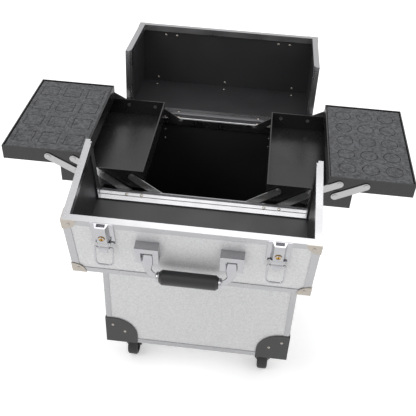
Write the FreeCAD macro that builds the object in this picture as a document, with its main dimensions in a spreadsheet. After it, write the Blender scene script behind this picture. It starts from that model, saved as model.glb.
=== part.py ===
import FreeCAD, Part
import Sketcher
import math
import os
import re

Vector = FreeCAD.Vector

# Rolling makeup case, open: a deep body on four casters, two half lids hinged at the front and
# back rims, and on each side a lower and an upper tray that fold out on two stages of riveted arms.
# Frame: origin at the middle of the body's underside, X to the right, Y to the back, Z up.

# Driving dimensions, in millimetres and degrees
SIZES = {
    "case_width": 350,
    "case_depth": 250,
    "body_height": 365,
    "lid_height": 150,
    "edge_width": 11,
    "edge_depth": 6,
    "panel_recess": 1,
    "corner_round": 3,
    "lining_thick": 1.2,
    "rim_width": 10,
    "lid_rim_height": 18,
    "rim_groove": 2,
    "tongue_height": 4,
    "tongue_thick": 2,
    "tongue_play": 0.6,
    "seam_gap": 0.4,
    "front_open": 103,
    "rear_open": 94,
    "hinge_x_front": 110,
    "hinge_x_rear": 88,
    "hinge_width": 30,
    "hinge_leaf": 20,
    "leaf_thick": 1.2,
    "knuckle_radius": 2.6,
    "hinge_pin_radius": 1.2,
    "cover_width": 60,
    "cover_height": 65,
    "cover_round": 45,
    "cover_thick": 1.2,
    "cap_leg": 20,
    "cap_thick": 1,
    "stage_angle_low": 34,
    "stage_angle_high": 28,
    "arm_low": 55.5,
    "arm_high": 51,
    "arm_thick": 1.5,
    "arm_half_width": 6,
    "layer_gap": 0.4,
    "pivot_drop": 2,
    "pivot_inner_x": 71,
    "pivot_outer_x": 120,
    "pivot_pitch_high": 41,
    "rivet_radius": 2,
    "rivet_head_radius": 4,
    "rivet_head_inside": 3.2,
    "rivet_head_thick": 0.8,
    "rivet_short": 4,
    "running_play": 0.05,
    "tray_wall": 2,
    "lower_tray_length": 135,
    "lower_tray_height": 32,
    "lower_tray_overhang": 18,
    "lower_pivot_below_top": 10.5,
    "upper_tray_length": 134,
    "upper_tray_height": 24.5,
    "upper_tray_overhang": 18,
    "tray_gap": 1,
    "foam_play": 1.5,
    "foam_drop": 1.5,
    "foam_rest": 0.3,
    "slit_width": 1,
    "slit_deep": 4,
    "square_side": 31,
    "square_pitch_x": 41,
    "square_pitch_y": 50,
    "disc_radius": 14,
    "disc_pitch_x": 37,
    "disc_pitch_y": 40,
    "caster_inset_x": 42,
    "caster_inset_y": 36,
    "caster_drop": 87,
    "wheel_radius": 25,
    "wheel_width": 20,
    "wheel_play": 0.6,
    "axle_radius": 3,
    "fork_trail": 16,
    "fork_thick": 2.2,
    "fork_neck_radius": 13,
    "fork_neck_height": 8,
    "fork_front_drop": 25,
    "fork_toe": 6,
    "nut_wall": 2.5,
    "nut_thick": 2.5,
    "wheel_web_recess": 4,
    "wheel_rim_thick": 6,
    "wheel_hub_wall": 5,
    "tread_round": 2.5,
    "caster_plate": 44,
    "caster_plate_thick": 2.5,
    "caster_gap": 0.3,
    "latch_x": 120,
    "latch_wing_width": 32,
    "latch_housing_width": 20,
    "latch_housing_top": 14,
    "latch_housing_height": 8,
    "latch_plate_length": 44,
    "latch_plate_thick": 1.2,
    "latch_housing_length": 33,
    "latch_slot_share": 0.7,
    "latch_ear_half": 3,
    "plug_below_edge": 24,
    "plug_radius": 5,
    "plug_seat": 2,
    "plug_lift": 0.2,
    "plug_proud": 1,
    "key_slot_width": 1.4,
    "key_slot_share": 0.6,
    "key_slot_deep": 2,
    "lever_below_edge": 38.5,
    "lever_pivot_height": 4.5,
    "lever_width": 15.4,
    "lever_length": 18,
    "lever_thick": 2.4,
    "lever_tip": 5,
    "lever_tip_step": 2.5,
    "lug_wall": 1.1,
    "bail_grip": 3,
    "latch_ear_thick": 2,
    "latch_pin_radius": 1.3,
    "bail_offset": 9,
    "bail_length": 33,
    "bail_half_width": 12.6,
    "bail_wire_radius": 1.4,
    "catch_width": 26,
    "catch_length": 13,
    "catch_lip": 5,
    "bracket_x": 59,
    "bracket_below_edge": 33,
    "bracket_side": 33,
    "bracket_height": 13,
    "bracket_recess": 17,
    "bracket_base": 2,
    "bracket_top_share": 0.3,
    "handle_pivot_share": 0.7,
    "handle_pin_radius": 2.6,
    "handle_pivot_height": 8,
    "handle_wire_radius": 3.6,
    "handle_drop": 38,
    "handle_bend": 13,
    "handle_tail": 6,
    "grip_length": 85,
    "grip_radius": 11,
    "grip_round": 3,
    "grip_shoulder": 4,
    "tube_x": 98,
    "tube_radius": 9,
    "tube_bore": 7,
    "tube_low": 200,
    "tube_top_drop": 42,
    "tube_standoff": 3,
    "inner_tube_radius": 6.7,
    "pull_grip_height": 22,
    "pull_grip_depth": 20,
    "pull_grip_drop": 14,
    "pull_grip_overhang": 16,
    "button_length": 32,
    "button_width": 9,
    "button_proud": 3,
    "button_seat": 7,
    "button_well": 12,
    "grip_socket": 5,
    "tube_floor": 4,
    "bracket_strap": 26,
    "strap_thick": 2,
    "strap_inset": 16,
    "strap_ear": 14,
}

doc = FreeCAD.newDocument("rolling_makeup_case")
sheet = doc.addObject("Spreadsheet::Sheet", "Sizes")
for row, (word, value) in enumerate(SIZES.items(), 1):
    sheet.set("A%d" % row, word)
    sheet.set("B%d" % row, str(value))
    sheet.setAlias("B%d" % row, word)
doc.recompute()

# Places that several pieces share, written once in words of the sheet
HALF_W = "(case_width / 2)"
HALF_D = "(case_depth / 2)"
RIM_Z = "body_height"
IN_RIM = "(case_width / 2 - rim_width)"
HINGE_Z = "(body_height + seam_gap)"
LID_LOW = "seam_gap"
LID_TOP = "(seam_gap + lid_height)"
LID_SEAM = "(case_depth / 2 - seam_gap / 2)"
LAYER_LOW_Y = "(rim_width - case_depth / 2 + layer_gap + arm_thick)"
LAYER_HIGH_Y = "(rim_width - case_depth / 2 + 2 * (layer_gap + arm_thick))"
TRAY_Y = "(case_depth / 2 - rim_width - 3 * layer_gap - 2 * arm_thick)"
PIVOT_Z = "(body_height - pivot_drop)"
HIGH_X = "(arm_high * cos(stage_angle_high))"
HIGH_Z = "(arm_high * sin(stage_angle_high))"
TRAY_PIVOT_Z = "(body_height - pivot_drop + arm_low * sin(stage_angle_low))"
Q_INNER_X = "(pivot_inner_x + arm_low * cos(stage_angle_low))"
Q_OUTER_X = "(pivot_outer_x + arm_low * cos(stage_angle_low))"
Q_FAR_X = "(pivot_outer_x + arm_low * cos(stage_angle_low) + pivot_pitch_high)"
LOWER_TOP = "(" + TRAY_PIVOT_Z + " + lower_pivot_below_top)"
UPPER_LOW = "(" + LOWER_TOP + " + tray_gap)"
UPPER_PIVOT_Z = "(" + TRAY_PIVOT_Z + " + " + HIGH_Z + ")"
P_INNER_X = "(" + Q_OUTER_X + " + " + HIGH_X + ")"
P_FAR_X = "(" + Q_FAR_X + " + " + HIGH_X + ")"
LOWER_X = "(" + Q_INNER_X + " - lower_tray_overhang)"
UPPER_X = "(" + P_INNER_X + " - upper_tray_overhang)"


def formula(text):
    """The text as an expression whose words are cells of the sheet."""
    def cell(found):
        word = found.group()
        return "Sizes." + word if word in SIZES else word
    return re.sub(r"[a-z][a-z_]+", cell, str(text))


def bind(thing, prop, text):
    thing.setExpression(prop, formula(text))


def place(thing, at, axis=None, angle=None):
    """Puts a thing at a bound place, turned by a bound angle about an axis."""
    if axis:
        start = SIZES.get(str(angle), 10)
        thing.Placement = FreeCAD.Placement(Vector(0, 0, 0), FreeCAD.Rotation(Vector(*axis), start))
        bind(thing, "Placement.Rotation.Angle", angle)
    for letter, text in zip("xyz", at):
        bind(thing, "Placement.Base." + letter, text)
    return thing


def fresh(kind, name):
    thing = doc.addObject(kind, name)
    thing.Label = name
    return thing


# Part primitives and booleans
def box(name, low, high):
    """A block between two corners, each given as three expressions."""
    thing = fresh("Part::Box", name)
    for prop, a, b in zip(("Length", "Width", "Height"), low, high):
        bind(thing, prop, "(%s) - (%s)" % (b, a))
    return place(thing, low)


TURNS = {"x": ((0, 1, 0), 90), "y": ((1, 0, 0), -90), "z": ((0, 0, 1), 0)}


def rod(name, at, along, radius, length):
    """A cylinder from a point along an axis."""
    thing = fresh("Part::Cylinder", name)
    bind(thing, "Radius", radius)
    bind(thing, "Height", length)
    axis, angle = TURNS[along]
    thing.Placement = FreeCAD.Placement(Vector(0, 0, 0), FreeCAD.Rotation(Vector(*axis), angle))
    return place(thing, at)


def ball(name, at, radius):
    thing = fresh("Part::Sphere", name)
    bind(thing, "Radius", radius)
    return place(thing, at)


def fuse(name, things):
    if len(things) == 1:
        return things[0]
    thing = fresh("Part::MultiFuse", name)
    thing.Shapes = things
    thing.Refine = True
    return thing


def cut(name, base, tools):
    thing = fresh("Part::Cut", name)
    thing.Base = base
    thing.Tool = fuse(name + "_tool", tools)
    return thing


def common(name, things):
    thing = fresh("Part::MultiCommon", name)
    thing.Shapes = things
    return thing


def group(name, things):
    thing = fresh("Part::Compound", name)
    thing.Links = things
    return thing


def mirror(name, source, normal):
    """The mirror image across a plane through the origin."""
    thing = fresh("Part::Mirroring", name)
    thing.Source = source
    thing.Normal = Vector(*normal)
    thing.Base = Vector(0, 0, 0)
    return thing


ACROSS_X = (1, 0, 0)
ACROSS_Y = (0, 1, 0)


# Bodies with sketches
def new_body(name):
    return fresh("PartDesign::Body", name)


def new_sketch(body, plane, lift="0"):
    """A sketch on one of the body's own origin planes, lifted along its normal."""
    sketch = body.newObject("Sketcher::SketchObject", body.Name + "_sketch")
    support = [f for f in body.Origin.OriginFeatures if f.Role == plane][0]
    sketch.AttachmentSupport = [(support, "")]
    sketch.MapMode = "FlatFace"
    bind(sketch, "AttachmentOffset.Base.z", lift)
    return sketch


def fix_point(sketch, edge, end, x, y):
    """Ties a point of an edge to a place measured from the sketch's origin."""
    for kind, text in (("DistanceX", x), ("DistanceY", y)):
        index = sketch.addConstraint(Sketcher.Constraint(kind, -1, 1, edge, end, 1.0))
        bind(sketch, "Constraints[%d]" % index, text)


def draw_outline(sketch, points):
    """A closed outline of straight edges through bound points."""
    count = len(points)
    first = len(sketch.Geometry)
    for i in range(count):
        turn = 2 * math.pi * i / count
        after = 2 * math.pi * (i + 1) / count
        ends = [Vector(50 * math.cos(a), 50 * math.sin(a), 0) for a in (turn, after)]
        sketch.addGeometry(Part.LineSegment(*ends), False)
    for i in range(count):
        edge = Sketcher.Constraint("Coincident", first + i, 2, first + (i + 1) % count, 1)
        sketch.addConstraint(edge)
    for i, (x, y) in enumerate(points):
        fix_point(sketch, first + i, 1, x, y)


def draw_rectangle(sketch, x0, y0, x1, y1):
    draw_outline(sketch, [(x0, y0), (x1, y0), (x1, y1), (x0, y1)])


def draw_circle(sketch, x, y, radius):
    edge = sketch.addGeometry(Part.Circle(Vector(0, 0, 0), Vector(0, 0, 1), 5), False)
    fix_point(sketch, edge, 3, x, y)
    index = sketch.addConstraint(Sketcher.Constraint("Radius", edge, 5))
    bind(sketch, "Constraints[%d]" % index, radius)


def draw_slot(sketch, length, radius):
    """A bar with round ends, its first centre at the sketch's origin."""
    far = SIZES[length]
    near = SIZES[radius]
    up = Vector(0, 0, 1)
    half = math.pi / 2
    sketch.addGeometry(Part.ArcOfCircle(Part.Circle(Vector(0, 0, 0), up, near), half, 3 * half), False)
    sketch.addGeometry(Part.LineSegment(Vector(0, -near, 0), Vector(far, -near, 0)), False)
    sketch.addGeometry(Part.ArcOfCircle(Part.Circle(Vector(far, 0, 0), up, near), -half, half), False)
    sketch.addGeometry(Part.LineSegment(Vector(far, near, 0), Vector(0, near, 0)), False)
    for edge, end, other, start in ((0, 2, 1, 1), (1, 2, 2, 1), (2, 2, 3, 1), (3, 2, 0, 1)):
        sketch.addConstraint(Sketcher.Constraint("Tangent", edge, end, other, start))
    sketch.addConstraint(Sketcher.Constraint("Coincident", 0, 3, -1, 1))
    sketch.addConstraint(Sketcher.Constraint("Horizontal", 1))
    index = sketch.addConstraint(Sketcher.Constraint("DistanceX", 0, 3, 2, 3, far))
    bind(sketch, "Constraints[%d]" % index, length)
    index = sketch.addConstraint(Sketcher.Constraint("Radius", 0, near))
    bind(sketch, "Constraints[%d]" % index, radius)


def pad(body, sketch, length, back=False):
    feature = body.newObject("PartDesign::Pad", body.Name + "_pad")
    feature.Profile = sketch
    bind(feature, "Length", length)
    feature.Reversed = back
    return feature


def pocket(body, sketch, length, back=False):
    feature = body.newObject("PartDesign::Pocket", body.Name + "_pocket")
    feature.Profile = sketch
    bind(feature, "Length", length)
    feature.Reversed = back
    return feature


def revolve(body, sketch, axis):
    """A full turn of the sketch about one of its own axes."""
    feature = body.newObject("PartDesign::Revolution", body.Name + "_turn")
    feature.Profile = sketch
    feature.ReferenceAxis = (sketch, [axis])
    feature.Angle = 360
    return feature


def fillet_edges(body, feature, radius, wanted):
    """Rounds the edges of a feature that a test picks."""
    doc.recompute()
    names = ["Edge%d" % (i + 1) for i, edge in enumerate(feature.Shape.Edges) if wanted(edge)]
    rounding = body.newObject("PartDesign::Fillet", body.Name + "_round")
    rounding.Base = (feature, names)
    bind(rounding, "Radius", radius)
    return rounding


def upright(edge):
    run = edge.lastVertex().Point - edge.firstVertex().Point
    return abs(run.z) > 0.5 * edge.Length and abs(run.x) + abs(run.y) < 1e-6


NODES = {}


def keep(thing, name):
    """Records a finished sub-part under its node name."""
    thing.Label = name
    NODES[name] = thing
    return thing


# Body: panels, lining, posts, bottom frame and rim
def body_panels():
    across = "(%s - edge_width)" % HALF_W
    along = "(%s - edge_width)" % HALF_D
    low = "edge_width"
    high = "body_height - edge_width"
    near = "(%s - panel_recess)" % HALF_D
    deep = "(%s - edge_depth)" % HALF_D
    side_out = "(%s - panel_recess)" % HALF_W
    side_in = "(%s - edge_depth)" % HALF_W
    keep(box("panel_front", ("-" + across, "-" + near, low), (across, "-" + deep, high)), "panel_front")
    keep(box("panel_back", ("-" + across, deep, low), (across, near, high)), "panel_back")
    right = box("side_panel_right", (side_in, "-" + along, low), (side_out, along, high))
    left = box("side_panel_left", ("-" + side_out, "-" + along, low), ("-" + side_in, along, high))
    keep(group("side_panels", [right, left]), "side_panels")
    floor = box("panel_floor", ("-" + side_in, "-" + deep, "0"), (side_in, deep, "edge_depth"))
    keep(floor, "panel_floor")


def body_lining():
    body = new_body("body_lining")
    outer = new_sketch(body, "XY_Plane", "edge_depth")
    side = "(%s - edge_depth)" % HALF_W
    deep = "(%s - edge_depth)" % HALF_D
    draw_rectangle(outer, "-" + side, "-" + deep, side, deep)
    pad(body, outer, "body_height - edge_width - edge_depth")
    inner = new_sketch(body, "XY_Plane", "body_height - edge_width")
    side = "(%s - edge_depth - lining_thick)" % HALF_W
    deep = "(%s - edge_depth - lining_thick)" % HALF_D
    draw_rectangle(inner, "-" + side, "-" + deep, side, deep)
    pocket(body, inner, "body_height - edge_width - edge_depth - lining_thick")
    keep(body, "body_lining")


def corner_posts():
    body = new_body("post_front_right")
    sketch = new_sketch(body, "XY_Plane", "edge_width")
    x_out = HALF_W
    y_out = "-" + HALF_D
    x_in = "%s - edge_width" % HALF_W
    y_in = "-%s + edge_width" % HALF_D
    x_leg = "%s - edge_depth" % HALF_W
    y_leg = "-%s + edge_depth" % HALF_D
    draw_outline(sketch, [
        (x_in, y_out), (x_out, y_out), (x_out, y_in), (x_leg, y_in), (x_leg, y_leg), (x_in, y_leg)])
    solid = pad(body, sketch, "body_height - 2 * edge_width")
    corner = SIZES["case_width"] / 2 + SIZES["case_depth"] / 2 - 1

    def outermost(edge):
        middle = edge.CenterOfMass
        return upright(edge) and middle.x - middle.y > corner

    fillet_edges(body, solid, "corner_round", outermost)
    left = mirror("post_front_left", body, ACROSS_X)
    rear = [mirror("post_rear_right", body, ACROSS_Y), mirror("post_rear_left", left, ACROSS_Y)]
    keep(group("corner_posts", [body, left] + rear), "corner_posts")


def frame_ring(name, low, height, wall):
    """A rectangular ring of the case's outline with rounded outer corners."""
    body = new_body(name)
    sketch = new_sketch(body, "XY_Plane", low)
    draw_rectangle(sketch, "-" + HALF_W, "-" + HALF_D, HALF_W, HALF_D)
    solid = pad(body, sketch, height)
    fillet_edges(body, solid, "corner_round", upright)
    inner = new_sketch(body, "XY_Plane", "%s + %s" % (low, height))
    x_in = "(%s - %s)" % (HALF_W, wall)
    y_in = "(%s - %s)" % (HALF_D, wall)
    draw_rectangle(inner, "-" + x_in, "-" + y_in, x_in, y_in)
    pocket(body, inner, height)
    return body


def knuckle_notches(name, xs, y, z):
    """Cylinders that clear the hinge knuckles from a rim."""
    length = "hinge_width + 2 * layer_gap"
    tools = []
    for i, x in enumerate(xs):
        start = ("%s - hinge_width / 2 - layer_gap" % x, y, z)
        tools.append(rod("%s_notch_%d" % (name, i), start, "x", "knuckle_radius + layer_gap", length))
    return tools


def body_rim():
    seat = frame_ring("rim_seat", "body_height - edge_width", "edge_width", "rim_width")
    deep_in = "(%s - rim_width)" % HALF_D
    x_out = "(%s + tongue_thick)" % IN_RIM
    y_out = "(%s + tongue_thick)" % deep_in
    top = "body_height + tongue_height"
    solid = box("tongue_out", ("-" + x_out, "-" + y_out, RIM_Z), (x_out, y_out, top))
    room = box("tongue_in", ("-" + IN_RIM, "-" + deep_in, "body_height - 1"), (IN_RIM, deep_in, top + " + 1"))
    tongue = cut("rim_tongue", solid, [room])
    ring = fuse("rim_ring", [seat, tongue])
    front = knuckle_notches("rim_front", ("hinge_x_front", "-hinge_x_front"), "-" + HALF_D, HINGE_Z)
    rear = knuckle_notches("rim_rear", ("hinge_x_rear", "-hinge_x_rear"), HALF_D, HINGE_Z)
    bores = []
    bore_length = "rim_width"
    for side, sign in (("right", ""), ("left", "-")):
        for word in ("pivot_inner_x", "pivot_outer_x"):
            for end, y in (("front", "-" + HALF_D + " + 1"), ("rear", HALF_D + " - rim_width - 1")):
                name = "rim_bore_%s_%s_%s" % (side, word[6:11], end)
                at = (sign + word, y, PIVOT_Z)
                bores.append(rod(name, at, "y", "rivet_radius + running_play", bore_length))
    keep(cut("body_rim", ring, front + rear + bores), "body_rim")


# Large nickel covers on the body's bottom corners
def cover_profile(name, along):
    """A prism of the cover's outline, seen along one axis: square outside, one large rounded corner."""
    flat = "(cover_width - cover_round)"
    tall = "(cover_height - cover_round)"
    x_out = HALF_W + " + 5"
    y_out = "-%s - 5" % HALF_D
    x_in = "%s - cover_width" % HALF_W
    y_in = "-%s + cover_width" % HALF_D
    low = box(name + "_low", (x_in, y_out, "-5"), (x_out, y_in, tall))
    if along == "y":
        x_flat = "%s - %s" % (HALF_W, flat)
        outer = box(name + "_out", (x_flat, y_out, "-5"), (x_out, y_in, "cover_height"))
        at = (x_flat, y_out, tall)
    else:
        y_flat = "-%s + %s" % (HALF_D, flat)
        outer = box(name + "_out", (x_in, y_out, "-5"), (x_out, y_flat, "cover_height"))
        at = (x_in, y_flat, tall)
    corner = rod(name + "_round", at, along, "cover_round", "cover_width + 5")
    return fuse(name, [low, outer, corner])


def corner_covers():
    out = "cover_thick"
    shell = cut(
        "cover_shell",
        box("cover_outside", ("%s - cover_width" % HALF_W, "-%s - %s" % (HALF_D, out), "-" + out),
            ("%s + %s" % (HALF_W, out), "-%s + cover_width" % HALF_D, "cover_height")),
        [box("cover_inside", ("%s - cover_width - 1" % HALF_W, "-" + HALF_D, "0"),
             (HALF_W, "-%s + cover_width + 1" % HALF_D, "cover_height + 1"))],
    )
    views = [cover_profile("cover_front_view", "y"), cover_profile("cover_side_view", "x")]
    right = common("cover_front_right", [shell] + views)
    left = mirror("cover_front_left", right, ACROSS_X)
    keep(group("corner_covers_front", [right, left]), "corner_covers_front")
    rear_right = mirror("cover_rear_right", right, ACROSS_Y)
    rear_left = mirror("cover_rear_left", left, ACROSS_Y)
    keep(group("corner_covers_rear", [rear_right, rear_left]), "corner_covers_rear")


# Lid hinges: two outer knuckles and a pin on the body, the middle knuckle on the lid
KNUCKLE_ROOM = "(knuckle_radius + layer_gap)"
KNUCKLE_LONG = "(hinge_width / 3)"
PIN_BORE = "hinge_pin_radius + running_play"


def body_hinge(name, x):
    """One fixed hinge half about the origin: leaf down the outside face, two knuckles and the pin."""
    left = x + " - hinge_width / 2"
    right = x + " + hinge_width / 2"
    pieces = [box(name + "_leaf", (left, "-leaf_thick", "-hinge_leaf"), (right, "0", "-" + KNUCKLE_ROOM))]
    for side, low in (("a", left), ("b", x + " + hinge_width / 6")):
        length = KNUCKLE_LONG + " - running_play"
        end = "%s + %s" % (low, length)
        pieces.append(rod(name + "_knuckle_" + side, (low, "0", "0"), "x", "knuckle_radius", length))
        pieces.append(box(name + "_web_" + side, (low, "-leaf_thick", "-" + KNUCKLE_ROOM), (end, "0", "0")))
    start = (x + " - hinge_width / 6 - running_play", "0", "0")
    clear = rod(name + "_clear", start, "x", KNUCKLE_ROOM, KNUCKLE_LONG + " + 2 * running_play")
    pin = rod(name + "_pin", (left, "0", "0"), "x", "hinge_pin_radius", "hinge_width")
    return fuse(name, [cut(name + "_open", fuse(name + "_fused", pieces), [clear]), pin])


def lid_hinge(name, x):
    """The lid's hinge half about the origin: leaf up the outside face and the middle knuckle."""
    length = KNUCKLE_LONG + " - 2 * running_play"
    start = "%s - hinge_width / 6 + running_play" % x
    leaf = box(name + "_leaf", (x + " - hinge_width / 2", "-leaf_thick", KNUCKLE_ROOM),
               (x + " + hinge_width / 2", "0", "hinge_leaf"))
    web = box(name + "_web", (start, "-leaf_thick", "0"), ("%s + %s" % (start, length), "0", KNUCKLE_ROOM))
    barrel = rod(name + "_barrel", (start, "0", "0"), "x", "knuckle_radius", length)
    hole = rod(name + "_bore", (start + " - 1", "0", "0"), "x", PIN_BORE, KNUCKLE_LONG + " + 2")
    return cut(name, fuse(name + "_solid", [leaf, web, barrel]), [hole])


def hinge_leaves():
    halves = []
    for end, word in (("front", "hinge_x_front"), ("rear", "hinge_x_rear")):
        right = body_hinge("hinge_%s_right" % end, word)
        pair = group("hinges_%s_body" % end, [right, body_hinge("hinge_%s_left" % end, "-" + word)])
        place(pair, ("0", "-" + HALF_D, HINGE_Z))
        halves.append(pair if end == "front" else mirror("hinges_rear_body_there", pair, ACROSS_Y))
    keep(group("hinge_leaves", halves), "hinge_leaves")


# Half lids, drawn closed about the hinge line and then opened
def opened(name, things, angle, rear):
    """Opens a lid's sub-part by its angle about its hinge line, at the front or mirrored to the rear."""
    placed = place(group(name, things), ("0", "-" + HALF_D, HINGE_Z), (1, 0, 0), angle)
    return mirror(name + "_there", placed, ACROSS_Y) if rear else placed


def lid_frame(end, hinge_x):
    """The aluminium edges of a half lid: a block less its room and its panel windows."""
    side_rim = IN_RIM
    side_edge = "(%s - edge_depth)" % HALF_W
    window = "(%s - edge_width)" % HALF_W
    seam_in = "(%s - edge_width)" % LID_SEAM
    seam_out = LID_SEAM + " + 1"
    rim_top = "(seam_gap + lid_rim_height)"
    edge_top = LID_TOP + " - edge_width"
    rebate = "(tongue_thick + tongue_play)"
    rebate_x = "(%s + %s)" % (side_rim, rebate)
    slit = "rim_groove / 2"
    slit_x = "(%s + %s)" % (side_rim, slit)
    slit_z = "(seam_gap + lid_rim_height / 2)"
    block = box("lid_block_" + end, ("-" + HALF_W, "0", LID_LOW), (HALF_W, LID_SEAM, LID_TOP))
    rooms = [
        ("room", ("-" + side_edge, "edge_depth", rim_top), (side_edge, seam_in, LID_TOP + " - edge_depth")),
        ("mouth", ("-" + side_rim, "rim_width", "-1"), (side_rim, seam_out, rim_top + " + 1")),
        ("seam", ("-" + side_rim, seam_in + " - 1", "-1"), (side_rim, seam_out, LID_TOP + " - rim_width")),
        ("front", ("-" + window, "-1", rim_top), (window, "edge_depth + 1", edge_top)),
        ("sides", ("-%s - 1" % HALF_W, "edge_width", rim_top), (HALF_W + " + 1", seam_in, edge_top)),
        ("top", ("-" + window, "edge_width", LID_TOP + " - edge_depth - 1"), (window, seam_in, LID_TOP + " + 1")),
        ("rebate", ("-" + rebate_x, "rim_width - " + rebate, "-1"), (rebate_x, seam_out, "tongue_height + tongue_play")),
        ("groove", ("-" + slit_x, "rim_width - " + slit, "%s - %s" % (slit_z, slit)),
         (slit_x, seam_out, "%s + %s" % (slit_z, slit))),
    ]
    tools = [box("lid_%s_%s" % (end, name), low, high) for name, low, high in rooms]
    tools += knuckle_notches("lid_" + end, (hinge_x, "-" + hinge_x), "0", "0")
    return cut("lid_edges_" + end, block, tools)


def lid_panels(end):
    window = "(%s - edge_width)" % HALF_W
    seam_in = "(%s - edge_width)" % LID_SEAM
    rim_top = "(seam_gap + lid_rim_height)"
    top_in = LID_TOP + " - edge_width"
    side_in = "(%s - edge_depth)" % HALF_W
    side_out = "(%s - panel_recess)" % HALF_W
    low = LID_TOP + " - edge_depth"
    high = LID_TOP + " - panel_recess"
    return [
        box("lid_panel_hinge_" + end, ("-" + window, "panel_recess", rim_top), (window, "edge_depth", top_in)),
        box("lid_panel_top_" + end, ("-" + window, "edge_width", low), (window, seam_in, high)),
        box("lid_panel_right_" + end, (side_in, "edge_width", rim_top), (side_out, seam_in, top_in)),
        box("lid_panel_left_" + end, ("-" + side_out, "edge_width", rim_top), ("-" + side_in, seam_in, top_in)),
    ]


def lid_lining(end):
    rim_top = "(seam_gap + lid_rim_height)"
    side = "(%s - edge_depth)" % HALF_W
    seam_in = "(%s - edge_width)" % LID_SEAM
    skin = "(%s - edge_depth - lining_thick)" % HALF_W
    low = ("-" + side, "edge_depth", rim_top)
    outer = box("lid_lining_out_" + end, low, (side, seam_in, LID_TOP + " - edge_depth"))
    inner = box("lid_lining_in_" + end, ("-" + skin, "edge_depth + lining_thick", rim_top + " - 1"),
                (skin, seam_in + " + 1", LID_TOP + " - edge_depth - lining_thick"))
    return cut("lid_lining_" + end, outer, [inner])


def lid_caps(end):
    """Nickel caps over the four corners of the top panel, each a few quarter discs."""
    thick = "cap_thick"
    outer = box("cap_out_" + end, ("-%s - %s" % (HALF_W, thick), "-" + thick, LID_LOW),
                ("%s + %s" % (HALF_W, thick), LID_SEAM, "%s + %s" % (LID_TOP, thick)))
    inner = box("cap_in_" + end, ("-" + HALF_W, "0", "-1"), (HALF_W, LID_SEAM + " + 1", LID_TOP))
    discs = []
    for side, x, x_low in (("right", HALF_W, HALF_W), ("left", "-" + HALF_W, "-%s - %s" % (HALF_W, thick))):
        for row, y in (("edge", "0"), ("seam", LID_SEAM)):
            name = "cap_%s_%s_%s" % (end, side, row)
            discs.append(rod(name + "_top", (x, y, LID_TOP), "z", "cap_leg", thick))
            discs.append(rod(name + "_side", (x_low, y, LID_TOP), "x", "cap_leg", thick))
        discs.append(rod("cap_%s_%s_face" % (end, side), (x, "-" + thick, LID_TOP), "y", "cap_leg", thick))
    return common("caps_" + end, [cut("cap_shell_" + end, outer, [inner]), fuse("cap_discs_" + end, discs)])


def half_lids():
    for end in ("front", "rear"):
        rear = end == "rear"
        word = "hinge_x_" + end
        angle = end + "_open"
        hinges = [lid_hinge("lid_hinge_right_" + end, word), lid_hinge("lid_hinge_left_" + end, "-" + word)]
        frame = fuse("lid_frame_fused_" + end, [lid_frame(end, word)] + hinges)
        keep(opened("lid_frame_" + end, [frame], angle, rear), end + "_lid_frame")
        keep(opened("lid_panels_" + end, lid_panels(end), angle, rear), end + "_lid_panels")
        keep(opened("lid_linings_" + end, [lid_lining(end)], angle, rear), end + "_lid_lining")
        keep(opened("lid_caps_" + end, [lid_caps(end)], angle, rear), end + "_lid_caps")


# What sits on the top panels. Places below the free edge are measured from the seam.
def below_edge(distance):
    return "(%s - (%s))" % (LID_SEAM, distance)


def lid_point(distance, height):
    """World y and z of a point on the open front lid's top, below the free edge and above the face."""
    along = below_edge(distance)
    out = "(%s + %s)" % (LID_TOP, height)
    y = "-%s + %s * cos(front_open) - %s * sin(front_open)" % (HALF_D, along, out)
    z = "%s + %s * sin(front_open) + %s * cos(front_open)" % (HINGE_Z, along, out)
    return y, z


def latch_base():
    """Riveted plate with wings, a tapered housing with the catch slot, and two ears for the lever."""
    x = "latch_x"
    wing_low = x + " - latch_wing_width / 2"
    wing_high = x + " + latch_wing_width / 2"
    foot = below_edge("latch_plate_length")
    plate_top = "(%s + latch_plate_thick)" % LID_TOP
    plate = box("latch_plate", (wing_low, foot, LID_TOP), (wing_high, below_edge("seam_gap"), plate_top))
    seat = box("latch_seat", (wing_low, foot, LID_TOP + " - panel_recess"),
               (wing_high, below_edge("edge_width"), LID_TOP))
    housing = new_body("latch_housing")
    sketch = new_sketch(housing, "XZ_Plane")
    base = "latch_housing_width / 2"
    crown = "latch_housing_top / 2"
    top = "latch_housing_height"
    draw_outline(sketch, [("-" + base, "0"), (base, "0"), (crown, top), ("-" + crown, top)])
    pad(housing, sketch, "latch_housing_length - seam_gap")
    place(housing, (x, below_edge("seam_gap"), plate_top))
    slot_half = "(latch_housing_top / 2 - 1)"
    slot_top = plate_top + " + latch_slot_share * latch_housing_height"
    slot = box("latch_slot", ("%s - %s" % (x, slot_half), below_edge("latch_housing_top / 2"), plate_top),
               ("%s + %s" % (x, slot_half), below_edge("-1"), slot_top))
    hole = rod("latch_plug_hole", (x, below_edge("plug_below_edge"), plate_top + " + plug_seat"), "z",
               "plug_radius + running_play", "latch_housing_height")
    pivot_z = LID_TOP + " + lever_pivot_height"
    ears = []
    reach = "(lever_width / 2 + layer_gap)"
    for side, low, high in (("a", reach, reach + " + latch_ear_thick"),
                            ("b", "-%s - latch_ear_thick" % reach, "-" + reach)):
        corner = ("%s + %s" % (x, low), below_edge("lever_below_edge + latch_ear_half"), plate_top)
        crown = ("%s + %s" % (x, high), below_edge("lever_below_edge - latch_ear_half"), pivot_z + " + 2.4")
        ears.append(box("latch_ear_" + side, corner, crown))
    bore = rod("latch_ear_bore", (wing_low, below_edge("lever_below_edge"), pivot_z), "x",
               "latch_pin_radius + running_play", "latch_wing_width")
    solid = fuse("latch_solid", [plate, seat, housing] + ears)
    return cut("latch_base", solid, [slot, hole, bore])


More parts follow.
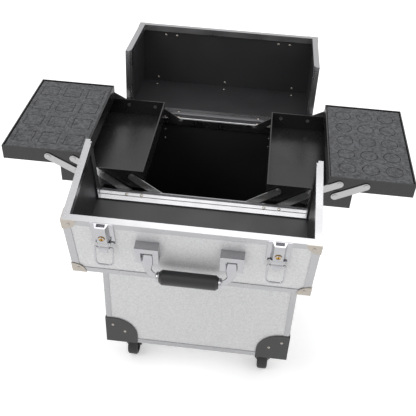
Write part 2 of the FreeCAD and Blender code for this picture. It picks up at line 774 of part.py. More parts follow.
def latch_plug():
    """Brass lock plug with a key slot, turning in the housing."""
    body = new_body("latch_plug")
    sketch = new_sketch(body, "XY_Plane", "plug_seat + plug_lift")
    draw_circle(sketch, "0", "0", "plug_radius")
    pad(body, sketch, "latch_housing_height + plug_proud - plug_seat - plug_lift")
    key = new_sketch(body, "XY_Plane", "latch_housing_height + plug_proud")
    half = "(key_slot_width / 2)"
    reach = "(key_slot_share * plug_radius)"
    draw_rectangle(key, "-" + half, "-" + reach, half, reach)
    pocket(body, key, "key_slot_deep")
    place(body, ("latch_x", below_edge("plug_below_edge"), "%s + latch_plate_thick" % LID_TOP))
    return body


def latch_lever():
    """Tongue hanging from its pin, with a through bore for the bail's ends."""
    half = "lever_width / 2"
    thick = "lever_thick / 2"
    tip_half = "(%s - lever_tip_step)" % half
    waist = "(lever_tip - lever_length)"
    barrel = rod("lever_barrel", ("-" + half, "0", "0"), "x", "latch_pin_radius + 1", "lever_width")
    tongue = box("lever_tongue", ("-" + half, "-" + thick, waist), (half, thick, "0"))
    tip = box("lever_tip", ("-" + tip_half, "-" + thick, "-lever_length"), (tip_half, thick, waist))
    lug = rod("lever_lug", ("-" + half, "0", "-bail_offset"), "x", "bail_wire_radius + lug_wall", "lever_width")
    pin_reach = "(lever_width / 2 + layer_gap + latch_ear_thick)"
    pin = rod("lever_pin", ("-" + pin_reach, "0", "0"), "x", "latch_pin_radius", "2 * " + pin_reach)
    bore = rod("lever_bore", ("-lever_width", "0", "-bail_offset"), "x",
               "bail_wire_radius + running_play", "2 * lever_width")
    solid = cut("lever_solid", fuse("lever_parts", [barrel, tongue, tip, lug, pin]), [bore])
    lever = group("latch_lever", [solid])
    y, z = lid_point("lever_below_edge", "lever_pivot_height")
    return place(lever, ("latch_x", y, z))


def latch_bail():
    """Square wire loop whose two ends turn in the lever."""
    wire = "bail_wire_radius"
    side = "bail_half_width"
    pieces = []
    hook = "lever_width / 2 - bail_grip"
    for name, x, start in (("right", side, hook), ("left", "-" + side, "-" + side)):
        pieces.append(rod("bail_leg_" + name, (x, "0", "-bail_length"), "z", wire, "bail_length"))
        pieces.append(rod("bail_end_" + name, (start, "0", "0"), "x", wire, "%s - (%s)" % (side, hook)))
        pieces.append(ball("bail_top_" + name, (x, "0", "0"), wire))
        pieces.append(ball("bail_low_" + name, (x, "0", "-bail_length"), wire))
    pieces.append(rod("bail_bar", ("-" + side, "0", "-bail_length"), "x", wire, "2 * bail_half_width"))
    bail = group("latch_bail", [fuse("bail_wire", pieces)])
    y, z = lid_point("lever_below_edge", "lever_pivot_height")
    return place(bail, ("latch_x", y, z + " - bail_offset"))


def latches():
    fixed = (("latch_base", latch_base()), ("latch_plug", latch_plug()))
    for name, thing in fixed:
        right = opened(name + "_open", [thing], "front_open", False)
        keep(right, name + "_right")
        keep(mirror(name + "_mirrored", right, ACROSS_X), name + "_left")
    for name, thing in (("latch_lever", latch_lever()), ("latch_bail", latch_bail())):
        keep(thing, name + "_right")
        keep(mirror(name + "_mirrored", thing, ACROSS_X), name + "_left")


def latch_catches():
    """Plates with a raised lip on the rear lid's top, where the bails hook on."""
    plate = box("catch_plate", ("latch_x - catch_width / 2", below_edge("catch_length"), LID_TOP),
                ("latch_x + catch_width / 2", below_edge("seam_gap"), LID_TOP + " + latch_plate_thick"))
    lip_end = below_edge("catch_length - latch_plate_thick * 2")
    lip = box("catch_lip", ("latch_x - catch_width / 3", below_edge("catch_length"), LID_TOP),
              ("latch_x + catch_width / 3", lip_end, LID_TOP + " + catch_lip"))
    right = fuse("catch_right", [plate, lip])
    pair = [right, mirror("catch_left", right, ACROSS_X)]
    keep(opened("catches", pair, "rear_open", True), "latch_catches")


HANDLE_PIVOT = "bracket_below_edge + handle_pivot_share * bracket_side"


def handle_brackets():
    """Chrome brackets with an open recess and bores for the handle's pins."""
    x = "bracket_x"
    half = "(bracket_side / 2)"
    face = LID_TOP + " - panel_recess"
    high = "%s + bracket_height" % LID_TOP
    low_y = below_edge("bracket_below_edge + bracket_side")
    high_y = below_edge("bracket_below_edge")
    block = box("bracket_block", ("%s - %s" % (x, half), low_y, face), ("%s + %s" % (x, half), high_y, high))
    recess_top = below_edge("bracket_below_edge + bracket_top_share * bracket_side")
    recess = box("bracket_recess", (x + " - bracket_recess / 2", low_y + " - 1", LID_TOP + " + bracket_base"),
                 (x + " + bracket_recess / 2", recess_top, high + " + 1"))
    pivot = (x + " - bracket_side", below_edge(HANDLE_PIVOT), LID_TOP + " + handle_pivot_height")
    bore = rod("bracket_bore", pivot, "x", "handle_pin_radius + running_play", "2 * bracket_side")
    right = cut("bracket_right", block, [recess, bore])
    pair = [right, mirror("bracket_left", right, ACROSS_X)]
    keep(opened("brackets", pair, "front_open", False), "handle_brackets")


def carry_handle():
    """Bent chrome arms and a round grip hanging plumb from the brackets' pins."""
    inward = "(bracket_x - handle_bend)"
    half = "(grip_length / 2)"
    pin_half = "(bracket_side / 2 - 2)"
    boss_half = "(handle_wire_radius + 1)"
    drop = "(handle_drop - handle_bend)"
    pin = rod("handle_pin", ("bracket_x - " + pin_half, "0", "0"), "x", "handle_pin_radius", "2 * " + pin_half)
    boss = rod("handle_boss", ("bracket_x - " + boss_half, "0", "0"), "x", "handle_pin_radius + 2",
               "2 * " + boss_half)
    leg = rod("handle_leg", ("bracket_x", "0", "-" + drop), "z", "handle_wire_radius", drop)
    bend = fresh("Part::Torus", "handle_bend_right")
    bind(bend, "Radius1", "handle_bend")
    bind(bend, "Radius2", "handle_wire_radius")
    bend.Angle3 = 90
    upright_ring = FreeCAD.Rotation(Vector(0, 0, 1), Vector(0, -1, 0))
    quarter = FreeCAD.Rotation(Vector(0, 0, 1), -90)
    bend.Placement = FreeCAD.Placement(Vector(0, 0, 0), upright_ring.multiply(quarter))
    place(bend, (inward, "0", "-" + drop))
    start = "(%s - handle_tail)" % half
    into = rod("handle_into", (start, "0", "-handle_drop"), "x", "handle_wire_radius", "%s - %s" % (inward, start))
    arm = fuse("handle_arm_right", [pin, boss, leg, bend, into])
    arms = group("handle_arms", [arm, mirror("handle_arm_left", arm, ACROSS_X)])
    grip = new_body("grip_turned")
    sketch = new_sketch(grip, "XZ_Plane")
    bore = "handle_wire_radius"
    lip = "grip_radius - grip_round"
    shoulder = "(%s - grip_shoulder)" % half
    draw_outline(sketch, [("-" + half, bore), (half, bore), (half, lip), (shoulder, "grip_radius"),
                          ("-" + shoulder, "grip_radius"), ("-" + half, lip)])
    revolve(grip, sketch, "H_Axis")
    place(grip, ("0", "0", "-handle_drop"))
    y, z = lid_point(HANDLE_PIVOT, "handle_pivot_height")
    keep(place(arms, ("0", y, z)), "carry_handle_arms")
    keep(place(group("handle_grip", [grip]), ("0", y, z)), "carry_handle_grip")


# Trays on their arms
def tray(name, x, length, low, height, bores):
    """An open tray with thin walls and rivet holes through its front and rear walls."""
    body = new_body(name + "_tray")
    outer = new_sketch(body, "XY_Plane")
    draw_rectangle(outer, "0", "-" + TRAY_Y, length, TRAY_Y)
    pad(body, outer, height)
    inner = new_sketch(body, "XY_Plane", height)
    deep = "(%s - tray_wall)" % TRAY_Y
    draw_rectangle(inner, "tray_wall", "-" + deep, "%s - tray_wall" % length, deep)
    pocket(body, inner, "%s - tray_wall" % height)
    holes = new_sketch(body, "XZ_Plane", "-case_depth / 2")
    for px, pz in bores:
        draw_circle(holes, "%s - %s" % (px, x), "%s - %s" % (pz, low), "rivet_radius + running_play")
    pocket(body, holes, "case_depth", True)
    return place(body, (x, "0", low))


def arm(name, length, start, finish, at, angle):
    """A flat bar between two rivets. start and finish list the discs and holes at its two ends."""
    body = new_body(name)
    bar = new_sketch(body, "XZ_Plane")
    draw_slot(bar, length, "arm_half_width")
    pad(body, bar, "arm_thick")
    for x, end in (("0", start), (length, finish)):
        for kind, inward, radius, reach in end:
            sketch = new_sketch(body, "XZ_Plane", "0")
            draw_circle(sketch, x, "0", radius)
            if kind == "hole":
                pocket(body, sketch, reach, not inward)
            else:
                pad(body, sketch, reach, inward)
    front = place(body, at, (0, -1, 0), angle)
    return group(name + "_pair", [front, mirror(name + "_rear", front, ACROSS_Y)])


def through_wall(reach):
    """A rivet inward through a tray wall, with its small head inside and its large head outside."""
    return [
        ("pad", True, "rivet_radius", "%s + tray_wall + running_play + rivet_head_thick" % reach),
        ("pad", False, "rivet_head_radius", "arm_thick + rivet_head_thick"),
    ]


def trays_and_arms():
    lower_low = "(%s - lower_tray_height)" % LOWER_TOP
    bores = [(Q_INNER_X, TRAY_PIVOT_Z), (Q_OUTER_X, TRAY_PIVOT_Z), (Q_FAR_X, TRAY_PIVOT_Z)]
    lower = tray("lower", LOWER_X, "lower_tray_length", lower_low, "lower_tray_height", bores)
    bores = [(P_INNER_X, UPPER_PIVOT_Z), (P_FAR_X, UPPER_PIVOT_Z)]
    upper = tray("upper", UPPER_X, "upper_tray_length", UPPER_LOW, "upper_tray_height", bores)
    into_rim = [
        ("pad", False, "rivet_radius", "arm_thick + layer_gap + rim_width - rivet_short"),
        ("pad", True, "rivet_head_radius", "rivet_head_thick"),
    ]
    spacer = [("pad", True, "rivet_head_inside", "2 * layer_gap + arm_thick - running_play")]
    far = "arm_thick + 2 * layer_gap"
    free_hole = [("hole", False, "rivet_radius + running_play", "arm_thick")]
    low_y = LAYER_LOW_Y
    high_y = LAYER_HIGH_Y
    wall = through_wall("layer_gap")
    links = {
        "link_lower_outer": arm("link_lower_outer", "arm_low", into_rim, through_wall(far),
                                ("pivot_outer_x", low_y, PIVOT_Z), "stage_angle_low"),
        "link_lower_inner": arm("link_lower_inner", "arm_low", into_rim, through_wall(far) + spacer,
                                ("pivot_inner_x", low_y, PIVOT_Z), "stage_angle_low"),
        "link_upper_inner": arm("link_upper_inner", "arm_high", free_hole, wall,
                                (Q_OUTER_X, high_y, TRAY_PIVOT_Z), "stage_angle_high"),
        "link_upper_outer": arm("link_upper_outer", "arm_high", wall, wall,
                                (Q_FAR_X, high_y, TRAY_PIVOT_Z), "stage_angle_high"),
    }
    heads = {
        "link_lower_outer": [(Q_OUTER_X, TRAY_PIVOT_Z)],
        "link_lower_inner": [(Q_INNER_X, TRAY_PIVOT_Z)],
        "link_upper_inner": [(P_INNER_X, UPPER_PIVOT_Z)],
        "link_upper_outer": [(Q_FAR_X, TRAY_PIVOT_Z), (P_FAR_X, UPPER_PIVOT_Z)],
    }
    head_y = "-%s + tray_wall + running_play" % TRAY_Y
    keep(lower, "lower_tray_right")
    keep(mirror("lower_tray_mirrored", lower, ACROSS_X), "lower_tray_left")
    keep(upper, "upper_tray_right")
    keep(mirror("upper_tray_mirrored", upper, ACROSS_X), "upper_tray_left")
    for name, bars in links.items():
        caps = []
        for i, (x, z) in enumerate(heads[name]):
            label = "%s_head_%d" % (name, i)
            head = rod(label, (x, head_y, z), "y", "rivet_head_inside", "rivet_head_thick")
            caps += [head, mirror(label + "_rear", head, ACROSS_Y)]
        whole = fuse(name + "_riveted", [bars] + caps)
        keep(whole, name + "_right")
        keep(mirror(name + "_mirrored", whole, ACROSS_X), name + "_left")


# Foam inserts with their cut outlines
def foam_block(name):
    gap = "(tray_wall + foam_play)"
    deep = "(%s - tray_wall - foam_play)" % TRAY_Y
    low = "(%s + tray_wall + foam_rest)" % UPPER_LOW
    high = "(%s + upper_tray_height - foam_drop)" % UPPER_LOW
    return box(name, ("%s + %s" % (UPPER_X, gap), "-" + deep, low),
               ("%s + upper_tray_length - %s" % (UPPER_X, gap), deep, high)), high


def foams():
    middle = "(%s + upper_tray_length / 2)" % UPPER_X
    block, high = foam_block("foam_discs")
    bottom = high + " - slit_deep"
    slits = []
    for i in range(3):
        for j in range(5):
            x = "%s + (%d) * disc_pitch_x" % (middle, i - 1)
            y = "(%d) * disc_pitch_y" % (j - 2)
            name = "disc_%d_%d" % (i, j)
            outer = rod(name + "_out", (x, y, bottom), "z", "disc_radius", "slit_deep + 1")
            inner = rod(name + "_in", (x, y, bottom + " - 1"), "z", "disc_radius - slit_width", "slit_deep + 3")
            slits.append(cut(name, outer, [inner]))
    keep(cut("foam_right_cut", block, slits), "foam_right")
    block, high = foam_block("foam_squares")
    bottom = high + " - slit_deep"
    slits = []

    def square(name, x, y, half, low, top):
        corner = ("%s - %s" % (x, half), "%s - %s" % (y, half), low)
        return box(name, corner, ("%s + %s" % (x, half), "%s + %s" % (y, half), top))

    for i in range(3):
        for j in range(4):
            x = "%s + (%d) * square_pitch_x" % (middle, i - 1)
            y = "(%s) * square_pitch_y" % (j - 1.5)
            name = "square_%d_%d" % (i, j)
            outer = square(name + "_out", x, y, "square_side / 2", bottom, high + " + 1")
            inner = square(name + "_in", x, y, "(square_side / 2 - slit_width)", bottom + " - 1", high + " + 2")
            slits.append(cut(name, outer, [inner]))
    keep(mirror("foam_left_mirrored", cut("foam_left_cut", block, slits), ACROSS_X), "foam_left")


# Casters: fixed plates, swivelling forks with their axles, and wheels
CASTERS = {"fr": (1, -1), "fl": (-1, -1), "rr": (1, 1), "rl": (-1, 1)}


def caster_place(signs, z):
    x = "%d * (%s - caster_inset_x)" % (signs[0], HALF_W)
    y = "%d * (%s - caster_inset_y)" % (signs[1], HALF_D)
    return x, y, z


def caster_fork(name):
    """A round crown and two tapering cheeks trailing back to the axle."""
    gap = "(wheel_width / 2 + wheel_play)"
    outside = "(%s + fork_thick)" % gap
    top = "-(cover_thick + caster_plate_thick + caster_gap)"
    neck_low = "(%s - fork_neck_height)" % top
    neck_mid = "(%s - fork_neck_height / 2)" % top
    axle_z = "(wheel_radius - caster_drop)"
    toe = "(%s - fork_toe)" % axle_z
    body = new_body(name + "_cheek")
    sketch = new_sketch(body, "YZ_Plane", gap)
    crown = "fork_neck_radius"
    draw_outline(sketch, [
        ("-" + crown, neck_mid), (crown, neck_mid), ("fork_trail + fork_toe + 1", axle_z + " + 4"),
        ("fork_trail + fork_toe - 1", toe), ("fork_trail - fork_toe + 1", toe), ("-%s + 4" % crown, "-fork_front_drop")])
    pad(body, sketch, "fork_thick")
    neck = rod(name + "_neck", ("0", "0", neck_low), "z", "fork_neck_radius", "fork_neck_height")
    bridge = box(name + "_bridge", ("-" + outside, "-" + crown, neck_low), (outside, crown, neck_mid))
    axle = rod(name + "_axle", ("-%s - 2" % outside, "fork_trail", axle_z), "x", "axle_radius",
               "2 * (%s + 2)" % outside)
    nuts = []
    for side, x in (("a", outside), ("b", "-%s - nut_thick" % outside)):
        place_of = (x, "fork_trail", axle_z)
        nuts.append(rod("%s_nut_%s" % (name, side), place_of, "x", "axle_radius + nut_wall", "nut_thick"))
    return fuse(name, [body, mirror(name + "_cheek_left", body, ACROSS_X), neck, bridge, axle] + nuts)


def caster_wheel(name):
    """A wheel turned from its half section: crowned tread, recessed web and hub."""
    body = new_body(name)
    sketch = new_sketch(body, "XZ_Plane")
    half = "(wheel_width / 2)"
    bore = "axle_radius + running_play"
    rim = "(wheel_radius - wheel_rim_thick)"
    hub = "(axle_radius + wheel_hub_wall)"
    web = "(%s - wheel_web_recess)" % half
    crown = "(%s - tread_round)" % half
    shoulder = "wheel_radius - tread_round"
    right = [(half, bore), (half, hub), (web, hub), (web, rim), (half, rim), (half, shoulder), (crown, "wheel_radius")]
    left = [("-" + x, z) for x, z in reversed(right)]
    draw_outline(sketch, right + left)
    revolve(body, sketch, "H_Axis")
    return body


def casters():
    plates = []
    half = "caster_plate / 2"
    for tag, signs in CASTERS.items():
        x, y, low = caster_place(signs, "-cover_thick - caster_plate_thick")
        corner = ("%s - %s" % (x, half), "%s - %s" % (y, half), low)
        crown = ("%s + %s" % (x, half), "%s + %s" % (y, half), "-cover_thick")
        plates.append(box("caster_plate_" + tag, corner, crown))
        fork = group("fork_group_" + tag, [caster_fork("fork_" + tag)])
        keep(place(fork, caster_place(signs, "0")), "caster_fork_" + tag)
        wheel = caster_wheel("wheel_" + tag)
        x, y, z = caster_place(signs, "wheel_radius - caster_drop")
        keep(place(wheel, (x, y + " + fork_trail", z)), "caster_wheel_" + tag)
    keep(group("caster_plates", plates), "caster_plates")


# Telescopic pull handle on the back
def pull_handle():
    y = "(%s + tube_standoff + tube_radius)" % HALF_D
    top = "(body_height - tube_top_drop)"
    low = "tube_low"
    grip_top = "(body_height - pull_grip_drop)"
    grip_low = "(%s - pull_grip_height)" % grip_top
    tubes = []
    inners = []
    sockets = []
    straps = []
    rise = "%s - %s" % (top, low)
    inner_low = "(%s + 2 * tube_floor)" % low
    seat = "(%s + grip_socket)" % grip_low
    face = "%s - panel_recess" % HALF_D
    half_strap = "bracket_strap / 2"
    wrap = "(tube_radius + strap_thick)"
    ear_reach = "(tube_radius + strap_ear)"
    for side, sign in (("right", ""), ("left", "-")):
        x = sign + "tube_x"
        outer = rod("tube_" + side, (x, y, low), "z", "tube_radius", rise)
        bore = rod("tube_bore_" + side, (x, y, low + " + tube_floor"), "z", "tube_bore", rise)
        tubes.append(cut("outer_tube_" + side, outer, [bore]))
        inners.append(rod("inner_tube_" + side, (x, y, inner_low), "z", "inner_tube_radius",
                          "%s - %s" % (seat, inner_low)))
        sockets.append(rod("pull_socket_" + side, (x, y, grip_low + " - 1"), "z", "inner_tube_radius",
                           "grip_socket + 1"))
        for level, centre in (("upper", top + " - strap_inset"), ("lower", low + " + strap_inset")):
            name = "strap_%s_%s" % (level, side)
            z_low = "%s - %s" % (centre, half_strap)
            z_high = "%s + %s" % (centre, half_strap)
            block = box(name + "_block", ("%s - %s" % (x, wrap), face, z_low), ("%s + %s" % (x, wrap), y + " + " + wrap, z_high))
            ear = box(name + "_ears", ("%s - %s" % (x, ear_reach), face, z_low),
                      ("%s + %s" % (x, ear_reach), face + " + strap_thick", z_high))
            hole = rod(name + "_hole", (x, y, centre + " - bracket_strap"), "z", "tube_radius", "2 * bracket_strap")
            straps.append(cut(name, fuse(name + "_solid", [block, ear]), [hole]))
    keep(group("telescopic_outer_tubes", tubes), "telescopic_outer_tubes")
    keep(group("telescopic_brackets", straps), "telescopic_brackets")
    keep(group("telescopic_inner_tubes", inners), "telescopic_inner_tubes")
    half = "(tube_x + pull_grip_overhang)"
    deep = "pull_grip_depth / 2"
    grip = box("pull_grip_block", ("-" + half, "%s - %s" % (y, deep), grip_low), (half, "%s + %s" % (y, deep), grip_top))
    long = "(button_length / 2 + layer_gap)"
    wide = "(button_width / 2 + layer_gap)"
    well = box("pull_well", ("-" + long, "%s - %s" % (y, wide), grip_top + " - button_well"),
               (long, "%s + %s" % (y, wide), grip_top + " + 1"))
    keep(cut("pull_grip_cut", grip, sockets + [well]), "telescopic_grip")
    keep(box("pull_button", ("-button_length / 2", y + " - button_width / 2", grip_top + " - button_seat"),
             ("button_length / 2", y + " + button_width / 2", grip_top + " + button_proud")), "telescopic_button")


body_panels()
body_lining()
corner_posts()
keep(frame_ring("bottom_ring", "0", "edge_width", "edge_depth"), "bottom_frame")
body_rim()
corner_covers()
hinge_leaves()
half_lids()
latches()
latch_catches()
handle_brackets()
carry_handle()
trays_and_arms()
foams()
casters()
pull_handle()
doc.recompute()

faults = [thing.Label for thing in doc.Objects if "Invalid" in thing.State or "Error" in thing.State]
if faults:
    raise RuntimeError("failed objects: " + ", ".join(faults))
for name, thing in NODES.items():
    if thing.Shape.isNull() or not thing.Shape.isValid():
        raise RuntimeError("bad shape: " + name)
os.makedirs("parts", exist_ok=True)
for name, thing in NODES.items():
    thing.Shape.exportStep("parts/%s.step" % name)
    edge = thing.Shape.BoundBox
    spans = (edge.XMin, edge.XMax, edge.YMin, edge.YMax, edge.ZMin, edge.ZMax)
    print("%-24s solids %d  volume %.0f" % (name, len(thing.Shape.Solids), thing.Shape.Volume),
          "  x %.1f %.1f  y %.1f %.1f  z %.1f %.1f" % spans)
print(len(NODES), "sub-parts")
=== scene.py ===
import math

import bmesh
import bpy
from bpy.props import FloatProperty, FloatVectorProperty, IntProperty, PointerProperty
from mathutils import Matrix, Vector


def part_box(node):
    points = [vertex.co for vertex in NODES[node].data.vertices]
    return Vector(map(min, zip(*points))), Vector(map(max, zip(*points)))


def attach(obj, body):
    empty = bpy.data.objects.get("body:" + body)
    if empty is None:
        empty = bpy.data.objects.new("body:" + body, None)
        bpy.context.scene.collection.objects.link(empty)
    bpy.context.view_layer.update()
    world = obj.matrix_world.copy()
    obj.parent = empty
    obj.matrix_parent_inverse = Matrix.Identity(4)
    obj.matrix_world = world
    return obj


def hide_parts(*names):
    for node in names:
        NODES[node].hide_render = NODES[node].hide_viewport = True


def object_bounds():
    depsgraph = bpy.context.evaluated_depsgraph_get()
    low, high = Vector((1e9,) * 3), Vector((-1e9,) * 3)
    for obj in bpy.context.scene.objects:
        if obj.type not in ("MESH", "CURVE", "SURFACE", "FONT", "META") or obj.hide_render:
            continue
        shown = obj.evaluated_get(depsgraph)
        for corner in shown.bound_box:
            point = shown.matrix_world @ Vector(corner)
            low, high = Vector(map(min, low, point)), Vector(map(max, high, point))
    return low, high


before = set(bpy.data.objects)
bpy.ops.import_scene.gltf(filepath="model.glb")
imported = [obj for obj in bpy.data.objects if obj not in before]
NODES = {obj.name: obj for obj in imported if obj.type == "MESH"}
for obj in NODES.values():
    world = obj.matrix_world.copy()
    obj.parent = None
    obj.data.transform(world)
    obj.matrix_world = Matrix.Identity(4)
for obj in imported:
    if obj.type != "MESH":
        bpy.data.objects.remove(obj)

bl_info = {
    "name": "Rolling makeup case finish",
    "version": (1, 0, 0),
    "blender": (4, 5, 0),
    "location": "3D View > Sidebar > Case",
    "description": "Finishes, foam, rivets and small trim of an open rolling makeup case",
    "category": "Object",
}

CAD_BOX = [list(corner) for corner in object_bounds()]

# The camera that the photograph was taken with, fitted to the case's edges
CAMERA_PLACE = (0.07274, -0.96578, 1.03914)
CAMERA_YAW = math.radians(-4.34)
CAMERA_PITCH = math.radians(39.03)
CAMERA_ROLL = math.radians(3.0)
CAMERA_LENS = 58.11

FRONT_HINGE = Vector((0.0, -0.125, 0.3654))
REAR_HINGE = Vector((0.0, 0.125, 0.3654))
FRONT_LEAN = math.radians(103.0)
REAR_LEAN = math.radians(94.0)


def hex_colour(code):
    """A display colour code as scene-linear red, green and blue."""
    parts = [int(code[i:i + 2], 16) / 255 for i in (0, 2, 4)]
    return tuple(c / 12.92 if c <= 0.04045 else ((c + 0.055) / 1.055) ** 2.4 for c in parts)


def colour_property(name, words, code):
    """A colour that a user may change, with its default as a display code."""
    return FloatVectorProperty(name=name, description=words, subtype="COLOR", size=3, min=0, max=1,
                               default=hex_colour(code))


def length_property(name, words, default):
    """A length in metres that a user may change."""
    return FloatProperty(name=name, description=words, default=default, min=0, unit="LENGTH")


class CaseColours(bpy.types.PropertyGroup):
    panel: colour_property("Panel", "Silver sheet of the body and lids", "c4c4c5")
    edge: colour_property("Edge", "Aluminium extrusions and rims", "a6a6a8")
    lining: colour_property("Lining", "Black lining inside the body and lids", "212123")
    cover: colour_property("Cover", "Black plastic corner covers of the body", "29292a")
    nickel: colour_property("Nickel", "Lid caps and hinges", "a59f97")
    chrome: colour_property("Chrome", "Latches and handle fittings", "a9a9ac")
    brass: colour_property("Brass", "Lock plugs", "b8924a")
    tray: colour_property("Tray", "Black trays", "1a1a1b")
    foam: colour_property("Foam", "Foam inserts", "505154")
    # Painted shade: the bottom of each foam cut is the same foam, coloured darker to stand for the shade
    # inside the cut
    foam_slit_shade: colour_property("Foam slit", "Bottom of the cuts in the foam", "404144")
    arm: colour_property("Arm", "Steel tray arms", "a9a9a9")
    grip: colour_property("Grip", "Black moulded grips", "161618")
    fork: colour_property("Fork", "Black painted caster forks", "29292a")
    tread: colour_property("Tread", "Rubber wheels", "1c1c1d")
    tag: colour_property("Tag", "Red tags on the caster necks", "e0241c")
    floor: colour_property("Floor", "Studio floor", "ffffff")


class CaseSizes(bpy.types.PropertyGroup):
    rivet_radius: length_property("Rivet radius", "Radius of the dome rivets on covers and rims", 0.0028)
    rivet_height: length_property("Rivet height", "Height of a dome rivet", 0.0013)
    foam_cut: length_property("Foam cut", "Width of the cut lines in the foam", 0.0011)
    foam_cut_depth: length_property("Foam cut depth", "Depth of the cut lines in the foam", 0.004)
    tag_length: length_property("Tag length", "Length of a caster's red tag", 0.012)
    bail_wire: length_property("Bail wire", "Radius of the latch bail's wire", 0.0014)
    bail_bend: length_property("Bail bend", "Bend radius at the foot of a latch bail", 0.0065)
    arm_plate: length_property("Handle arm thickness", "Thickness of the carry handle's arms", 0.003)
    arm_width: length_property("Handle arm width", "Width of the carry handle's arms at the bend", 0.016)
    rivet_steps: IntProperty(name="Rivet steps", description="Steps round a rivet head",
                             default=20, min=8, max=64)


def looks():
    """The colours as they stand in the scene."""
    return bpy.context.scene.case_colours


def sizes():
    """The sizes as they stand in the scene."""
    return bpy.context.scene.case_sizes


# Node trees
def add_node(tree, kind, **settings):
    """A new node with its settings made."""
    node = tree.nodes.new(kind)
    for name, value in settings.items():
        setattr(node, name, value)
    return node


def set_inputs(node, **values):
    """Sets sockets by name, an underscore standing for a space."""
    for name, value in values.items():
        node.inputs[name.replace("_", " ")].default_value = value
    return node


def new_group(name, inputs, outputs):
    """An empty shader group with named inputs and outputs."""
    group = bpy.data.node_groups.new(name, "ShaderNodeTree")
    for label, kind, default in inputs:
        socket = group.interface.new_socket(label, in_out="INPUT", socket_type=kind)
        if default is not None:
            socket.default_value = default
    for label, kind in outputs:
        group.interface.new_socket(label, in_out="OUTPUT", socket_type=kind)
    return group, add_node(group, "NodeGroupInput"), add_node(group, "NodeGroupOutput")


def grain_group():
    """Fine isotropic grain: a height and a slow patchiness, both on Object coordinates."""
    group, source, target = new_group(
        "Fine grain",
        [("Grain scale", "NodeSocketFloat", 900.0), ("Patch scale", "NodeSocketFloat", 14.0)],
        [("Height", "NodeSocketFloat"), ("Patch", "NodeSocketFloat")])
    place = add_node(group, "ShaderNodeTexCoord")
    fine = add_node(group, "ShaderNodeTexNoise")
    set_inputs(fine, Detail=4.0, Roughness=0.65)
    patch = add_node(group, "ShaderNodeTexNoise")
    set_inputs(patch, Detail=3.0, Roughness=0.5)
    group.links.new(place.outputs["Object"], fine.inputs["Vector"])
    group.links.new(place.outputs["Object"], patch.inputs["Vector"])
    group.links.new(source.outputs["Grain scale"], fine.inputs["Scale"])
    group.links.new(source.outputs["Patch scale"], patch.inputs["Scale"])
    group.links.new(fine.outputs["Fac"], target.inputs["Height"])
    group.links.new(patch.outputs["Fac"], target.inputs["Patch"])
    return group


def streak_group():
    """Brushed streaks drawn out along the axis that has the small stretch."""
    group, source, target = new_group(
        "Brushed streaks",
        [("Stretch", "NodeSocketVector", (40.0, 1500.0, 1500.0))],
        [("Height", "NodeSocketFloat")])
    place = add_node(group, "ShaderNodeTexCoord")
    scale = add_node(group, "ShaderNodeVectorMath", operation="MULTIPLY")
    noise = add_node(group, "ShaderNodeTexNoise")
    set_inputs(noise, Scale=1.0, Detail=3.0, Roughness=0.6)
    group.links.new(place.outputs["Object"], scale.inputs[0])
    group.links.new(source.outputs["Stretch"], scale.inputs[1])
    group.links.new(scale.outputs[0], noise.inputs["Vector"])
    group.links.new(noise.outputs["Fac"], target.inputs["Height"])
    return group


def dust_group():
    """A thin uneven veil that lies on faces that look up."""
    group, source, target = new_group(
        "Dust veil",
        [("Amount", "NodeSocketFloat", 0.15), ("Scale", "NodeSocketFloat", 60.0)],
        [("Mask", "NodeSocketFloat")])
    place = add_node(group, "ShaderNodeTexCoord")
    shape = add_node(group, "ShaderNodeNewGeometry")
    split = add_node(group, "ShaderNodeSeparateXYZ")
    noise = add_node(group, "ShaderNodeTexNoise")
    set_inputs(noise, Detail=5.0, Roughness=0.7)
    lift = add_node(group, "ShaderNodeMapRange")
    set_inputs(lift, From_Min=0.35, From_Max=0.75)
    up = add_node(group, "ShaderNodeMath", operation="MULTIPLY", use_clamp=True)
    final = add_node(group, "ShaderNodeMath", operation="MULTIPLY", use_clamp=True)
    group.links.new(place.outputs["Object"], noise.inputs["Vector"])
    group.links.new(source.outputs["Scale"], noise.inputs["Scale"])
    group.links.new(noise.outputs["Fac"], lift.inputs["Value"])
    group.links.new(shape.outputs["Normal"], split.inputs[0])
    group.links.new(split.outputs["Z"], up.inputs[0])
    group.links.new(lift.outputs["Result"], up.inputs[1])
    group.links.new(up.outputs[0], final.inputs[0])
    group.links.new(source.outputs["Amount"], final.inputs[1])
    group.links.new(final.outputs[0], target.inputs["Mask"])
    return group


GROUPS = {}


def shared_group(name):
    """The shader group of that name, built the first time it is asked for."""
    makers = {"grain": grain_group, "streaks": streak_group, "dust": dust_group}
    if name not in GROUPS:
        GROUPS[name] = makers[name]()
    return GROUPS[name]


def use_group(tree, name, **values):
    """A node that uses one of the shared groups."""
    node = add_node(tree, "ShaderNodeGroup")
    node.node_tree = shared_group(name)
    return set_inputs(node, **values)


def new_material(name, colour, roughness, metallic=0.0, **shader):
    """A Principled material with a plain base. shader holds more of its sockets."""
    material = bpy.data.materials.new(name)
    material.use_nodes = True
    tree = material.node_tree
    principled = tree.nodes["Principled BSDF"]
    set_inputs(principled, Base_Color=(*colour, 1.0), Roughness=roughness, Metallic=metallic, **shader)
    return material, tree, principled


def add_bump(tree, principled, height, strength, distance):
    """Bumps a surface by a height."""
    bump = add_node(tree, "ShaderNodeBump")
    set_inputs(bump, Strength=strength, Distance=distance)
    tree.links.new(height, bump.inputs["Height"])
    tree.links.new(bump.outputs["Normal"], principled.inputs["Normal"])


def vary(tree, source, low, high, target):
    """Feeds a socket from a value, spread between two limits."""
    span = add_node(tree, "ShaderNodeMapRange")
    set_inputs(span, From_Min=0.25, From_Max=0.75, To_Min=low, To_Max=high)
    tree.links.new(source, span.inputs["Value"])
    tree.links.new(span.outputs["Result"], target)


